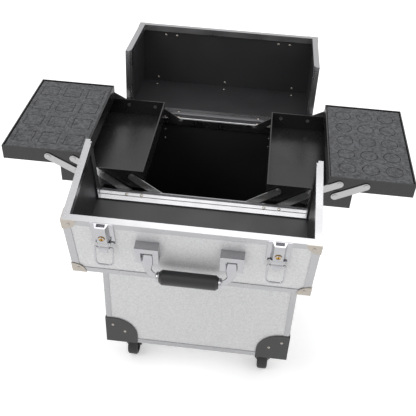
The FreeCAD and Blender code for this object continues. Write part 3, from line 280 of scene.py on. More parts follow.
def blend_colours(tree, mask, low, high, target):
    """Feeds a socket with a mix of two colours, by a mask."""
    mix = add_node(tree, "ShaderNodeMix", data_type="RGBA")
    mix.inputs[6].default_value = (*low, 1.0)
    mix.inputs[7].default_value = (*high, 1.0)
    tree.links.new(mask, mix.inputs[0])
    tree.links.new(mix.outputs[2], target)


def shade(colour, factor):
    """A colour made darker or lighter, at most white."""
    return tuple(min(1.0, c * factor) for c in colour)


def panel_material():
    """Silver sheet: pale metallic paint over a fine pebbled emboss."""
    colour = looks().panel
    material, tree, principled = new_material("silver_panel", colour, roughness=0.42, metallic=0.35,
                                              Specular_IOR_Level=0.5)
    grain = use_group(tree, "grain", Grain_scale=400.0, Patch_scale=9.0)
    blend_colours(tree, grain.outputs["Height"], shade(colour, 0.6), shade(colour, 1.3),
                  principled.inputs["Base Color"])
    vary(tree, grain.outputs["Patch"], low=0.36, high=0.5, target=principled.inputs["Roughness"])
    add_bump(tree, principled, grain.outputs["Height"], strength=0.5, distance=0.0004)
    return material


def metal_material(name, paint, roughness, stretch, streak, spread=0.07):
    """Plated or brushed metal with streaks along one direction."""
    colour = getattr(looks(), paint)
    material, tree, principled = new_material(name, colour, roughness, metallic=1.0)
    streaks = use_group(tree, "streaks", Stretch=stretch)
    grain = use_group(tree, "grain", Grain_scale=300.0, Patch_scale=22.0)
    vary(tree, grain.outputs["Patch"], roughness - spread, roughness + spread, principled.inputs["Roughness"])
    blend_colours(tree, streaks.outputs["Height"], shade(colour, 0.9), shade(colour, 1.08),
                  principled.inputs["Base Color"])
    add_bump(tree, principled, streaks.outputs["Height"], strength=streak, distance=0.0002)
    return material


def coated_material(name, paint, roughness, bump, grain_scale, dust):
    """Plastic, paint, rubber or cloth lining with a faint grain and a trace of dust."""
    colour = getattr(looks(), paint)
    material, tree, principled = new_material(name, colour, roughness)
    grain = use_group(tree, "grain", Grain_scale=grain_scale, Patch_scale=18.0)
    veil = use_group(tree, "dust", Amount=dust, Scale=45.0)
    vary(tree, grain.outputs["Patch"], roughness - 0.06, roughness + 0.08, principled.inputs["Roughness"])
    blend_colours(tree, veil.outputs["Mask"], colour, shade(colour, 3.5), principled.inputs["Base Color"])
    add_bump(tree, principled, grain.outputs["Height"], strength=bump, distance=0.0002)
    return material


def foam_material():
    """Open cell foam: mottled grey with pores a millimetre across."""
    colour = looks().foam
    material, tree, principled = new_material("grey_foam", colour, roughness=0.95, Sheen_Weight=0.15)
    grain = use_group(tree, "grain", Grain_scale=230.0, Patch_scale=30.0)
    place = add_node(tree, "ShaderNodeTexCoord")
    cells = add_node(tree, "ShaderNodeTexVoronoi")
    set_inputs(cells, Scale=520.0)
    tree.links.new(place.outputs["Object"], cells.inputs["Vector"])
    mottle = add_node(tree, "ShaderNodeMapRange")
    set_inputs(mottle, From_Min=0.34, From_Max=0.66)
    tree.links.new(grain.outputs["Height"], mottle.inputs["Value"])
    blend_colours(tree, mottle.outputs["Result"], shade(colour, 0.2), shade(colour, 1.25),
                  principled.inputs["Base Color"])
    add_bump(tree, principled, cells.outputs["Distance"], strength=0.8, distance=0.0008)
    return material


# Plain finishes: the colour property that each takes, and its surface
METALS = {
    "edge_upright": dict(paint="edge", roughness=0.3, stretch=(1400.0, 1400.0, 25.0), streak=0.15),
    "edge_across": dict(paint="edge", roughness=0.3, stretch=(25.0, 1400.0, 1400.0), streak=0.15),
    "nickel": dict(paint="nickel", roughness=0.3, stretch=(60.0, 60.0, 60.0), streak=0.05),
    "chrome": dict(paint="chrome", roughness=0.12, stretch=(80.0, 80.0, 80.0), streak=0.02, spread=0.04),
    "brass": dict(paint="brass", roughness=0.25, stretch=(300.0, 300.0, 300.0), streak=0.1),
    "arm": dict(paint="arm", roughness=0.34, stretch=(300.0, 1500.0, 900.0), streak=0.35),
}
COATINGS = {
    "lining": dict(paint="lining", roughness=0.45, bump=0.15, grain_scale=500.0, dust=0.05),
    "cover": dict(paint="cover", roughness=0.38, bump=0.2, grain_scale=600.0, dust=0.08),
    "tray": dict(paint="tray", roughness=0.26, bump=0.08, grain_scale=600.0, dust=0.1),
    "grip": dict(paint="grip", roughness=0.35, bump=0.2, grain_scale=900.0, dust=0.08),
    "fork": dict(paint="fork", roughness=0.32, bump=0.1, grain_scale=700.0, dust=0.1),
    "tread": dict(paint="tread", roughness=0.55, bump=0.3, grain_scale=800.0, dust=0.2),
    "tag": dict(paint="tag", roughness=0.4, bump=0.05, grain_scale=900.0, dust=0.0),
    # Painted shade for the bottoms of the foam cuts, darker than the foam itself
    "slit": dict(paint="foam_slit_shade", roughness=0.95, bump=0.3, grain_scale=500.0, dust=0.0),
}
MATERIALS = {}


def make_finish(name):
    """A new finish of that name"""
    if name == "silver_panel":
        return panel_material()
    if name == "foam":
        return foam_material()
    if name in METALS:
        return metal_material(name, **METALS[name])
    return coated_material(name, **COATINGS[name])


def finish_of(name):
    """The finish of that name, made the first time it is asked for."""
    if name not in MATERIALS:
        MATERIALS[name] = make_finish(name)
    return MATERIALS[name]


# Which finish each CAD node takes
NODE_FINISHES = {
    "silver_panel": ["panel_front", "panel_back", "side_panels", "panel_floor",
                     "front_lid_panels", "rear_lid_panels"],
    "edge_upright": ["corner_posts", "telescopic_outer_tubes", "telescopic_inner_tubes"],
    "edge_across": ["bottom_frame", "body_rim", "front_lid_frame", "rear_lid_frame"],
    "lining": ["body_lining", "front_lid_lining", "rear_lid_lining"],
    "cover": ["corner_covers_front", "corner_covers_rear"],
    "nickel": ["front_lid_caps", "rear_lid_caps", "hinge_leaves", "telescopic_brackets", "caster_plates"],
    "chrome": ["latch_base_right", "latch_base_left", "latch_lever_right", "latch_lever_left",
               "latch_bail_right", "latch_bail_left", "latch_catches", "handle_brackets",
               "carry_handle_arms"],
    "brass": ["latch_plug_right", "latch_plug_left"],
    "tray": ["lower_tray_right", "lower_tray_left", "upper_tray_right", "upper_tray_left"],
    "grip": ["carry_handle_grip", "telescopic_grip", "telescopic_button"],
    "arm": ["link_%s_%s_%s" % (stage, place, side) for stage in ("lower", "upper")
            for place in ("outer", "inner") for side in ("right", "left")],
    "fork": ["caster_fork_" + tag for tag in ("fr", "fl", "rr", "rl")],
    "tread": ["caster_wheel_" + tag for tag in ("fr", "fl", "rr", "rl")],
}


class CASE_OT_finishes(bpy.types.Operator):
    """Give every rigid sub-part its finish"""
    bl_idname = "case.finishes"
    bl_label = "Finishes"

    def execute(self, context):
        for finish, names in NODE_FINISHES.items():
            for name in names:
                mesh = NODES[name].data
                mesh.materials.clear()
                mesh.materials.append(finish_of(finish))
        return {"FINISHED"}


# Meshes
def new_object(name, mesh, finish):
    """An object with one finish, linked to the scene."""
    thing = bpy.data.objects.new(name, mesh)
    bpy.context.scene.collection.objects.link(thing)
    mesh.materials.append(finish_of(finish))
    return thing


def mesh_from(name, bm, finish, smooth=True):
    """An object at the origin from a bmesh, with its faces turned outwards."""
    bmesh.ops.remove_doubles(bm, verts=bm.verts, dist=1e-6)
    bmesh.ops.recalc_face_normals(bm, faces=bm.faces)
    mesh = bpy.data.meshes.new(name)
    bm.to_mesh(mesh)
    bm.free()
    for face in mesh.polygons:
        face.use_smooth = smooth
    return new_object(name, mesh, finish)


def bake_modifiers(thing):
    """Turns a thing's modifiers into plain mesh."""
    shape = bpy.context.evaluated_depsgraph_get()
    mesh = bpy.data.meshes.new_from_object(thing.evaluated_get(shape))
    old = thing.data
    thing.modifiers.clear()
    thing.data = mesh
    bpy.data.meshes.remove(old)


# Rivets, scattered by geometry nodes on named points
RIVET_RINGS = 10


def rivet_tree():
    """Puts a dome on each point, its axis along the point's own direction."""
    tree = bpy.data.node_groups.new("Rivet scatter", "GeometryNodeTree")
    tree.interface.new_socket("Geometry", in_out="INPUT", socket_type="NodeSocketGeometry")
    for label, kind, default in (("Radius", "NodeSocketFloat", 0.0028), ("Height", "NodeSocketFloat", 0.0013),
                                 ("Steps", "NodeSocketInt", 20), ("Finish", "NodeSocketMaterial", None)):
        socket = tree.interface.new_socket(label, in_out="INPUT", socket_type=kind)
        if default is not None:
            socket.default_value = default
    tree.interface.new_socket("Geometry", in_out="OUTPUT", socket_type="NodeSocketGeometry")
    source = add_node(tree, "NodeGroupInput")
    target = add_node(tree, "NodeGroupOutput")
    ball = add_node(tree, "GeometryNodeMeshUVSphere")
    ball.inputs["Rings"].default_value = RIVET_RINGS
    ball.inputs["Radius"].default_value = 1.0
    size = add_node(tree, "ShaderNodeCombineXYZ")
    shape = add_node(tree, "GeometryNodeTransform")
    place = add_node(tree, "GeometryNodeInstanceOnPoints")
    axis = add_node(tree, "GeometryNodeInputNamedAttribute", data_type="FLOAT_VECTOR")
    axis.inputs["Name"].default_value = "axis"
    turn = add_node(tree, "FunctionNodeAlignRotationToVector", axis="Z")
    real = add_node(tree, "GeometryNodeRealizeInstances")
    smooth = add_node(tree, "GeometryNodeSetShadeSmooth")
    coat = add_node(tree, "GeometryNodeSetMaterial")
    join = tree.links.new
    join(source.outputs["Steps"], ball.inputs["Segments"])
    join(source.outputs["Radius"], size.inputs[0])
    join(source.outputs["Radius"], size.inputs[1])
    join(source.outputs["Height"], size.inputs[2])
    join(ball.outputs["Mesh"], shape.inputs["Geometry"])
    join(size.outputs[0], shape.inputs["Scale"])
    join(source.outputs["Geometry"], place.inputs["Points"])
    join(shape.outputs["Geometry"], place.inputs["Instance"])
    join(axis.outputs["Attribute"], turn.inputs["Vector"])
    join(turn.outputs["Rotation"], place.inputs["Rotation"])
    join(place.outputs["Instances"], real.inputs["Geometry"])
    join(real.outputs["Geometry"], smooth.inputs["Geometry"])
    join(smooth.outputs["Geometry"], coat.inputs["Geometry"])
    join(source.outputs["Finish"], coat.inputs["Material"])
    join(coat.outputs["Geometry"], target.inputs["Geometry"])
    return tree


def set_modifier_input(modifier, label, value):
    """Sets an input of a geometry nodes modifier by its label."""
    for item in modifier.node_group.interface.items_tree:
        if item.item_type == "SOCKET" and item.in_out == "INPUT" and item.name == label:
            modifier[item.identifier] = value


def rivets(name, body, slot, points, finish, radius=None, height=None):
    """Dome rivets at (place, axis) pairs that ride on one body."""
    tree = bpy.data.node_groups.get("Rivet scatter") or rivet_tree()
    mesh = bpy.data.meshes.new(name + "_points")
    mesh.from_pydata([tuple(place) for place, axis in points], [], [])
    directions = mesh.attributes.new("axis", "FLOAT_VECTOR", "POINT")
    for entry, (place, axis) in zip(directions.data, points):
        entry.vector = Vector(axis).normalized()
    thing = bpy.data.objects.new(name, mesh)
    bpy.context.scene.collection.objects.link(thing)
    modifier = thing.modifiers.new("Rivets", "NODES")
    modifier.node_group = tree
    set_modifier_input(modifier, "Radius", radius or sizes().rivet_radius)
    set_modifier_input(modifier, "Height", height or sizes().rivet_height)
    set_modifier_input(modifier, "Steps", sizes().rivet_steps)
    set_modifier_input(modifier, "Finish", finish_of(finish))
    bake_modifiers(thing)
    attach(thing, body)


def front_lid_point(across, along, out):
    """A point of the front lid: across the case, along the lid's depth and out from the hinge line."""
    return FRONT_HINGE + Vector((across, along * math.cos(FRONT_LEAN) - out * math.sin(FRONT_LEAN),
                                 along * math.sin(FRONT_LEAN) + out * math.cos(FRONT_LEAN)))


def rear_lid_point(across, along, out):
    """The same for the rear lid, mirrored in Y."""
    y = along * math.cos(REAR_LEAN) - out * math.sin(REAR_LEAN)
    return REAR_HINGE + Vector((across, -y, along * math.sin(REAR_LEAN) + out * math.cos(REAR_LEAN)))


def lid_direction(lean, rear, across, along, out):
    """A direction given in a lid's own terms, turned as that lid stands open."""
    y = along * math.cos(lean) - out * math.sin(lean)
    return Vector((across, -y if rear else y, along * math.sin(lean) + out * math.cos(lean)))


# Places on the case, in metres. Lid places run along the lid's depth and out from its hinge line
LID_TOP = 0.1504
LID_SEAM = 0.1248
HALF_WIDTH = 0.175
HALF_DEPTH = 0.125
LINED_IN = 0.0072
COVER_THICK = 0.0012
COVER_RIVETS = ((0.013, 0.046), (0.036, 0.030))
FRAME_RIVET_X = -0.005
FRAME_RIVET_Z = 0.0055
CAP_THICK = 0.001
CAP_RIVET_IN = 0.009
HINGE_RIVET_X = {"front_lid": 0.110, "rear_lid": 0.088}
HINGE_RIVET_STEP = 0.012
HINGE_RIVET_ALONG = 0.010
HINGE_RIVET_OUT = 0.006
SMALL_RIVET = (0.0026, 0.001)
WALL_RIVET_X = 0.1
WALL_RIVET_HEIGHTS = (0.341, 0.322, 0.0142)
FLOOR_RIVET_IN = 0.012
LID_WALL_RIVETS_X = (-0.138, 0.0, 0.138)
LID_WALL_RIVET_UP = 0.008
LID_FLOOR_RIVET_IN = 0.014
CATCH_RIVETS_X = (-0.123, -0.101, 0.101, 0.123)
CATCH_RIVET_ALONG = 0.106
TRAY_RIVETS_X = (0.117, 0.166, 0.207)
TRAY_WALL_Y = 0.1088
TRAY_PIVOT_Z = 0.394


class CASE_OT_rivets(bpy.types.Operator):
    """Put the dome rivets on covers, caps, rims and hinges"""
    bl_idname = "case.rivets"
    bl_label = "Rivets"

    def execute(self, context):
        body = []
        for sx in (-1, 1):
            for sy in (-1, 1):
                for off, z in COVER_RIVETS:
                    body.append(((sx * (HALF_WIDTH - off), sy * (HALF_DEPTH + COVER_THICK), z), (0, sy, 0)))
                    body.append(((sx * (HALF_WIDTH + COVER_THICK), sy * (HALF_DEPTH - off), z), (sx, 0, 0)))
        rivets("cover_rivets", "body", "nickel_fittings", body, "nickel")
        edge = []
        for sy in (-1, 1):
            edge.append(((FRAME_RIVET_X, sy * HALF_DEPTH, FRAME_RIVET_Z), (0, sy, 0)))
        for sx in (-1, 1):
            edge.append(((sx * HALF_WIDTH, 0.0, FRAME_RIVET_Z), (sx, 0, 0)))
        rivets("frame_rivets", "body", "aluminium_edge", edge, "edge_across")
        for rear, lean, point, name in ((False, FRONT_LEAN, front_lid_point, "front_lid"),
                                        (True, REAR_LEAN, rear_lid_point, "rear_lid")):
            caps = []
            out = lid_direction(lean, rear, 0, 0, 1)
            for sx in (-1, 1):
                side = Vector((sx, 0, 0))
                across = sx * (HALF_WIDTH - CAP_RIVET_IN)
                for along in (CAP_RIVET_IN, LID_SEAM - CAP_RIVET_IN):
                    caps.append((point(across, along, LID_TOP + CAP_THICK), out))
                    caps.append((point(sx * (HALF_WIDTH + CAP_THICK), along, LID_TOP - CAP_RIVET_IN), side))
                face = lid_direction(lean, rear, 0, -1, 0)
                caps.append((point(across, -CAP_THICK, LID_TOP - CAP_RIVET_IN), face))
            rivets(name + "_cap_rivets", name, "nickel_fittings", caps, "nickel")
            inner = []
            up = lid_direction(lean, rear, 0, 1, 0)
            for sx in (-1, 1):
                for step in (-HINGE_RIVET_STEP, HINGE_RIVET_STEP):
                    x = sx * HINGE_RIVET_X[name] + step
                    inner.append((point(x, HINGE_RIVET_ALONG, HINGE_RIVET_OUT), up))
            rivets(name + "_hinge_rivets", name, "aluminium_edge", inner, "nickel", *SMALL_RIVET)
        self.inner_rivets()
        return {"FINISHED"}

    def inner_rivets(self):
        """Bright heads on the lining: body's back wall and floor, rear lid, and inside the lower trays."""
        wall = HALF_DEPTH - LINED_IN
        heads = []
        for x in (-WALL_RIVET_X, WALL_RIVET_X):
            for z in WALL_RIVET_HEIGHTS:
                heads.append(((x, wall, z), (0, -1, 0)))
            heads.append(((x, wall - FLOOR_RIVET_IN, LINED_IN), (0, 0, 1)))
        rivets("lining_rivets", "body", "nickel_fittings", heads, "nickel", *SMALL_RIVET)
        inward = lid_direction(REAR_LEAN, True, 0, 0, -1)
        upward = lid_direction(REAR_LEAN, True, 0, 1, 0)
        back = LID_TOP - LINED_IN
        heads = []
        for x in LID_WALL_RIVETS_X:
            heads.append((rear_lid_point(x, LINED_IN + LID_WALL_RIVET_UP, back), inward))
            heads.append((rear_lid_point(x, LINED_IN, back - LID_FLOOR_RIVET_IN), upward))
        for x in CATCH_RIVETS_X:
            heads.append((rear_lid_point(x, CATCH_RIVET_ALONG, back), inward))
        rivets("rear_lining_rivets", "rear_lid", "nickel_fittings", heads, "nickel", *SMALL_RIVET)
        for side, sx in (("right", 1), ("left", -1)):
            heads = [((sx * x, sy * TRAY_WALL_Y, TRAY_PIVOT_Z), (0, -sy, 0))
                     for x in TRAY_RIVETS_X for sy in (-1, 1)]
            rivets("tray_rivets_" + side, "lower_tray_" + side, "arm_steel", heads, "nickel", *SMALL_RIVET)


# Latches and carry handle: bent wire, lock bezels, broad handle arms
BAIL_STUB = 0.004
WIRE_STEPS = 14
FACE_TOLERANCE = 1e-5
BEZEL_BORE = 0.0033
BEZEL_RADIUS = 0.0049
BEZEL_TALL = 0.0008
BEZEL_SUNK = 0.0002
HANDLE_PIN_BELOW = 0.0561
HANDLE_PIN_OUT = 0.008
BRACKET_X = 0.059
ARM_ABOVE_PIN = 0.004
ARM_IN_GRIP = 0.002
ARM_NECK = 0.0048
ARM_STEPS = 10
ARM_BEVEL = 0.6
SWELL_START = 2.5
SWELL_STEPS = 14
SWELL_POWER = 0.7
COLLAR_BORE = 0.003
COLLAR_RADIUS = 0.0078
COLLAR_LONG = 0.005
COLLAR_IN_GRIP = 0.0005


def swept(name, path, sections, finish):
    """A bar along a path in the upright plane across the case.

    Each section is a ring of offsets, within the plane and along Y.
    """
    bm = bmesh.new()
    rows = []
    for k, point in enumerate(path):
        along = (path[min(k + 1, len(path) - 1)] - path[max(k - 1, 0)]).normalized()
        aside = Vector((along.z, 0.0, -along.x))
        rows.append([bm.verts.new(point + aside * u + Vector((0.0, v, 0.0))) for u, v in sections[k]])
    count = len(rows[0])
    for here, there in zip(rows, rows[1:]):
        for i in range(count):
            j = (i + 1) % count
            bm.faces.new((here[i], here[j], there[j], there[i]))
    bm.faces.new(rows[0])
    bm.faces.new(rows[-1])
    return mesh_from(name, bm, finish)


def turned(name, profile, place, axis, finish, steps=40):
    """A closed profile of (radius, height) points spun round an axis."""
    bm = bmesh.new()
    turn = Vector((0.0, 0.0, 1.0)).rotation_difference(Vector(axis).normalized())
    centre = Vector(place)
    rows = []
    for k in range(steps):
        a = 2 * math.pi * k / steps
        spun = [Vector((r * math.cos(a), r * math.sin(a), h)) for r, h in profile]
        rows.append([bm.verts.new(centre + turn @ corner) for corner in spun])
    for here, there in zip(rows, rows[1:] + rows[:1]):
        for i in range(len(profile)):
            j = (i + 1) % len(profile)
            bm.faces.new((here[i], here[j], there[j], there[i]))
    return mesh_from(name, bm, finish)


def corner_arc(centre, radius, first, last, steps=8):
    """Points of an arc in the plane across the case, between two angles from +X towards +Z."""
    angles = [first + (last - first) * k / steps for k in range(steps + 1)]
    return [centre + Vector((radius * math.cos(a), 0.0, radius * math.sin(a))) for a in angles]


class CASE_OT_bails(bpy.types.Operator):
    """Bend each latch bail from one wire and set a bezel round each lock plug"""
    bl_idname = "case.bails"
    bl_label = "Bails and lock bezels"

    def execute(self, context):
        wire = sizes().bail_wire
        bend = sizes().bail_bend
        turns = [2 * math.pi * k / WIRE_STEPS for k in range(WIRE_STEPS)]
        ring = [(wire * math.cos(a), wire * math.sin(a)) for a in turns]
        outward = lid_direction(FRONT_LEAN, False, 0, 0, 1)
        for side in ("right", "left"):
            low, high = (Vector(corner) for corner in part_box("latch_bail_" + side))
            y = (low.y + high.y) / 2
            left, right = low.x + wire, high.x - wire
            top, bottom = high.z - wire, low.z + wire
            path = [Vector((left + BAIL_STUB, y, top))]
            path += corner_arc(Vector((left + wire, y, top - wire)), wire, math.pi / 2, math.pi, 4)
            path += corner_arc(Vector((left + bend, y, bottom + bend)), bend, math.pi, 1.5 * math.pi)
            path += corner_arc(Vector((right - bend, y, bottom + bend)), bend, 1.5 * math.pi, 2 * math.pi)
            path += corner_arc(Vector((right - wire, y, top - wire)), wire, 0.0, math.pi / 2, 4)
            path.append(Vector((right - BAIL_STUB, y, top)))
            bail = swept("bail_wire_" + side, path, [ring] * len(path), "chrome")
            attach(bail, "latch_bail_" + side)
            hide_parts("latch_bail_" + side)
            corners = [vertex.co for vertex in NODES["latch_plug_" + side].data.vertices]
            face = max(corner.dot(outward) for corner in corners)
            rim = [corner for corner in corners if corner.dot(outward) > face - FACE_TOLERANCE]
            centre = sum(rim, Vector()) / len(rim)
            profile = [(BEZEL_BORE, -BEZEL_SUNK), (BEZEL_BORE, BEZEL_TALL - 0.0003),
                       (BEZEL_BORE + 0.0004, BEZEL_TALL), (BEZEL_RADIUS - 0.0005, BEZEL_TALL),
                       (BEZEL_RADIUS, BEZEL_TALL - 0.0005), (BEZEL_RADIUS, -BEZEL_SUNK)]
            bezel = turned("lock_bezel_" + side, profile, centre, outward, "chrome")
            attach(bezel, "latch_plug_" + side)
        return {"FINISHED"}


class CASE_OT_handle(bpy.types.Operator):
    """Give the carry handle broad curved arms that end in collars at the grip"""
    bl_idname = "case.handle"
    bl_label = "Carry handle"

    def execute(self, context):
        low, high = (Vector(corner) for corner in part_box("carry_handle_grip"))
        pin = front_lid_point(0.0, LID_SEAM - HANDLE_PIN_BELOW, LID_TOP + HANDLE_PIN_OUT)
        grip_z = (low.z + high.z) / 2
        grip_y = (low.y + high.y) / 2
        thick = sizes().arm_plate / 2
        broad = sizes().arm_width / 2
        for sx, side in ((1, "right"), (-1, "left")):
            outer = sx * BRACKET_X
            end = sx * (high.x - ARM_IN_GRIP)
            bend = abs(outer - end)
            start = Vector((outer, grip_y, pin.z + ARM_ABOVE_PIN))
            drop = start.z - grip_z - bend
            path = [start - Vector((0.0, 0.0, drop * k / ARM_STEPS)) for k in range(ARM_STEPS + 1)]
            for k in range(1, ARM_STEPS + 1):
                a = math.pi / 2 * k / ARM_STEPS
                inward = sx * bend * (1 - math.cos(a))
                path.append(Vector((outer - inward, grip_y, grip_z + bend * (1 - math.sin(a)))))
            sections = []
            for k in range(len(path)):
                swell = math.sin(math.pi * min(1.0, (k + SWELL_START) / SWELL_STEPS))
                half = ARM_NECK + (broad - ARM_NECK) * max(0.0, swell) ** SWELL_POWER
                edge = min(thick, half) * ARM_BEVEL
                sections.append([(-half + edge, -thick), (half - edge, -thick), (half, -thick + edge),
                                 (half, thick - edge), (half - edge, thick), (-half + edge, thick),
                                 (-half, thick - edge), (-half, -thick + edge)])
            arm = swept("handle_arm_" + side, path, sections, "chrome")
            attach(arm, "carry_handle")
            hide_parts("carry_handle_arms")
            profile = [(COLLAR_BORE, 0.0), (COLLAR_RADIUS - 0.0006, 0.0), (COLLAR_RADIUS, 0.0006),
                       (COLLAR_RADIUS, COLLAR_LONG - 0.0012), (COLLAR_RADIUS - 0.001, COLLAR_LONG),
                       (COLLAR_BORE, COLLAR_LONG)]
            place = (sx * (high.x - COLLAR_IN_GRIP), grip_y, grip_z)
            collar = turned("handle_collar_" + side, profile, place, (sx, 0, 0), "chrome")
            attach(collar, "carry_handle")
        return {"FINISHED"}


# Foam inserts: columns, rows, the two pitches, then the side of a square or the radius of a disc
FOAM_SQUARES = (3, 4, 0.041, 0.050, 0.031)
FOAM_DISCS = (3, 5, 0.037, 0.040, 0.014)
DISC_STEPS = 40
# How close to the groove bottom a face must lie to take the painted shade
SLIT_SHADE_BAND = 0.02


def foam_insert(name, node, body, loops):
    """A foam block with its outlines cut in as grooves, painted shade on the groove bottoms, and the top
    filled between them.
    """
    low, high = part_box(node)
    low = Vector(low)
    high = Vector(high)
    depth = sizes().foam_cut_depth
    bm = bmesh.new()
    corners = [(low.x, low.y), (high.x, low.y), (high.x, high.y), (low.x, high.y)]

    def ring(points, z):
        return [bm.verts.new((x, y, z)) for x, y in points]

    def edges_of(loop):
        return [bm.edges.new((a, b)) for a, b in zip(loop, loop[1:] + loop[:1])]

    def wall(upper, lower):
        count = len(upper)
        for i in range(count):
            j = (i + 1) % count
            bm.faces.new((upper[i], upper[j], lower[j], lower[i]))

    outer = ring(corners, high.z)
    top_edges = edges_of(outer)
    base = ring(corners, low.z)
    wall(outer, base)
    bm.faces.new(base)
    for points_out, points_in in loops:
        up_out = ring(points_out, high.z)
        up_in = ring(points_in, high.z)
        deep_out = ring(points_out, high.z - depth)
        deep_in = ring(points_in, high.z - depth)
        top_edges += edges_of(up_out)
        bm.faces.new(up_in)
        wall(up_out, deep_out)
        wall(up_in, deep_in)
        wall(deep_out, deep_in)
    bmesh.ops.triangle_fill(bm, edges=top_edges, use_beauty=True)
    thing = mesh_from(name, bm, "foam", smooth=False)
    # Faces at the bottom of each groove take the darker finish: painted shade in the cuts
    thing.data.materials.append(finish_of("slit"))
    for face in thing.data.polygons:
        if abs(high.z - face.center.z - depth) < depth * SLIT_SHADE_BAND:
            face.material_index = 1
    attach(thing, body)
    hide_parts(node)


def grid_places(centre_x, centre_y, columns, rows, pitch_x, pitch_y):
    """The centres of a grid of cut shapes, column by column"""
    places = []
    for i in range(columns):
        for j in range(rows):
            x = centre_x + (i - (columns - 1) / 2) * pitch_x
            y = centre_y + (j - (rows - 1) / 2) * pitch_y
            places.append((x, y))
    return places


def square_loops(places, side, cut):
    """The outer and inner outline of each cut square"""
    loops = []
    for x, y in places:
        outlines = []
        for half in (side / 2, side / 2 - cut):
            outlines.append([(x - half, y - half), (x + half, y - half),
                             (x + half, y + half), (x - half, y + half)])
        loops.append(tuple(outlines))
    return loops


def disc_loops(places, radius, cut):
    """The outer and inner outline of each cut disc"""
    angles = [2 * math.pi * k / DISC_STEPS for k in range(DISC_STEPS)]
    loops = []
    for x, y in places:
        outlines = []
        for size in (radius, radius - cut):
            outlines.append([(x + size * math.cos(a), y + size * math.sin(a)) for a in angles])
        loops.append(tuple(outlines))
    return loops


class CASE_OT_foam(bpy.types.Operator):
    """Cut foam inserts: squares on the left, discs on the right"""
    bl_idname = "case.foam"
    bl_label = "Foam inserts"

    def execute(self, context):
        cut = sizes().foam_cut
        for side, maker, layout in (("left", square_loops, FOAM_SQUARES), ("right", disc_loops, FOAM_DISCS)):
            low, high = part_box("foam_" + side)
            centre = ((low[0] + high[0]) / 2, (low[1] + high[1]) / 2)
            *grid, size = layout
            loops = maker(grid_places(*centre, *grid), size, cut)
            foam_insert("foam_insert_" + side, "foam_" + side, "upper_tray_" + side, loops)
        return {"FINISHED"}


# Casters: red tags on the necks and bright heads on the axles
TAG_THICK = 0.0015
TAG_TALL = 0.0055
TAG_SUNK = 0.0003
TAG_BELOW_TOP = 0.006
TAG_ROUND = 0.0005
AXLE_HEAD = (0.0042, 0.0014)


class CASE_OT_casters(bpy.types.Operator):
    """Add red tags to the caster necks and bright heads to the axles"""
    bl_idname = "case.casters"
    bl_label = "Casters"

    def execute(self, context):
        for tag in ("fr", "fl", "rr", "rl"):
            low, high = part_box("caster_fork_" + tag)
            x = (low[0] + high[0]) / 2
            y = low[1]
            z = high[2] - TAG_BELOW_TOP
            bm = bmesh.new()
            bmesh.ops.create_cube(bm, size=1.0)
            length = sizes().tag_length
            bmesh.ops.scale(bm, verts=bm.verts, vec=(length, TAG_THICK, TAG_TALL))
            bmesh.ops.bevel(bm, geom=bm.edges[:], offset=TAG_ROUND, segments=2, affect="EDGES")
            bmesh.ops.translate(bm, verts=bm.verts, vec=(x, y - TAG_SUNK, z))
            piece = mesh_from("caster_tag_" + tag, bm, "tag")
            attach(piece, "caster_fork_" + tag)
            wheel_low, wheel_high = (Vector(corner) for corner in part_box("caster_wheel_" + tag))
            axle = (wheel_low + wheel_high) / 2
            ends = [((low[0], axle.y, axle.z), (-1, 0, 0)), ((high[0], axle.y, axle.z), (1, 0, 0))]
            rivets("axle_heads_" + tag, "caster_fork_" + tag, "nickel_fittings", ends, "chrome", *AXLE_HEAD)
        return {"FINISHED"}


# Studio: floor, world, lamps and the camera
FLOOR_REACH = 6.0
FLOOR_GLOW = 0.28
WORLD_LIGHT = 0.72
LAMPS = (
    ("key_lamp", (-1.6, -1.3, 2.4), (0, 0, 0.2), (1.4, 1.4), 24),
    ("fill_lamp", (1.9, -0.6, 1.7), (0, 0, 0.2), (1.2, 1.6), 9),
    ("top_lamp", (0.1, 0.4, 2.6), (0, 0, 0.3), (1.6, 1.2), 14),
)


def camera_matrix():
    """The camera's place and turn, from its yaw, pitch and roll"""
    level = math.cos(CAMERA_PITCH)
    forward = Vector((math.sin(CAMERA_YAW) * level, math.cos(CAMERA_YAW) * level, -math.sin(CAMERA_PITCH)))
    right = Vector((math.cos(CAMERA_YAW), -math.sin(CAMERA_YAW), 0.0))
    up = right.cross(forward)
    rolled_right = right * math.cos(CAMERA_ROLL) + up * math.sin(CAMERA_ROLL)
    rolled_up = up * math.cos(CAMERA_ROLL) - right * math.sin(CAMERA_ROLL)
    turn = Matrix((rolled_right, rolled_up, -forward)).transposed()
    return Matrix.Translation(CAMERA_PLACE) @ turn.to_4x4()


def add_lamp(name, place, aim, size, power):
    """A rectangular lamp at a place, aimed at a point"""
    lamp = bpy.data.lights.new(name, "AREA")
    lamp.shape = "RECTANGLE"
    lamp.size, lamp.size_y = size
    lamp.energy = power
    thing = bpy.data.objects.new(name, lamp)
    thing.location = place
    thing.rotation_euler = (Vector(aim) - Vector(place)).to_track_quat("-Z", "Y").to_euler()
    bpy.context.scene.collection.objects.link(thing)


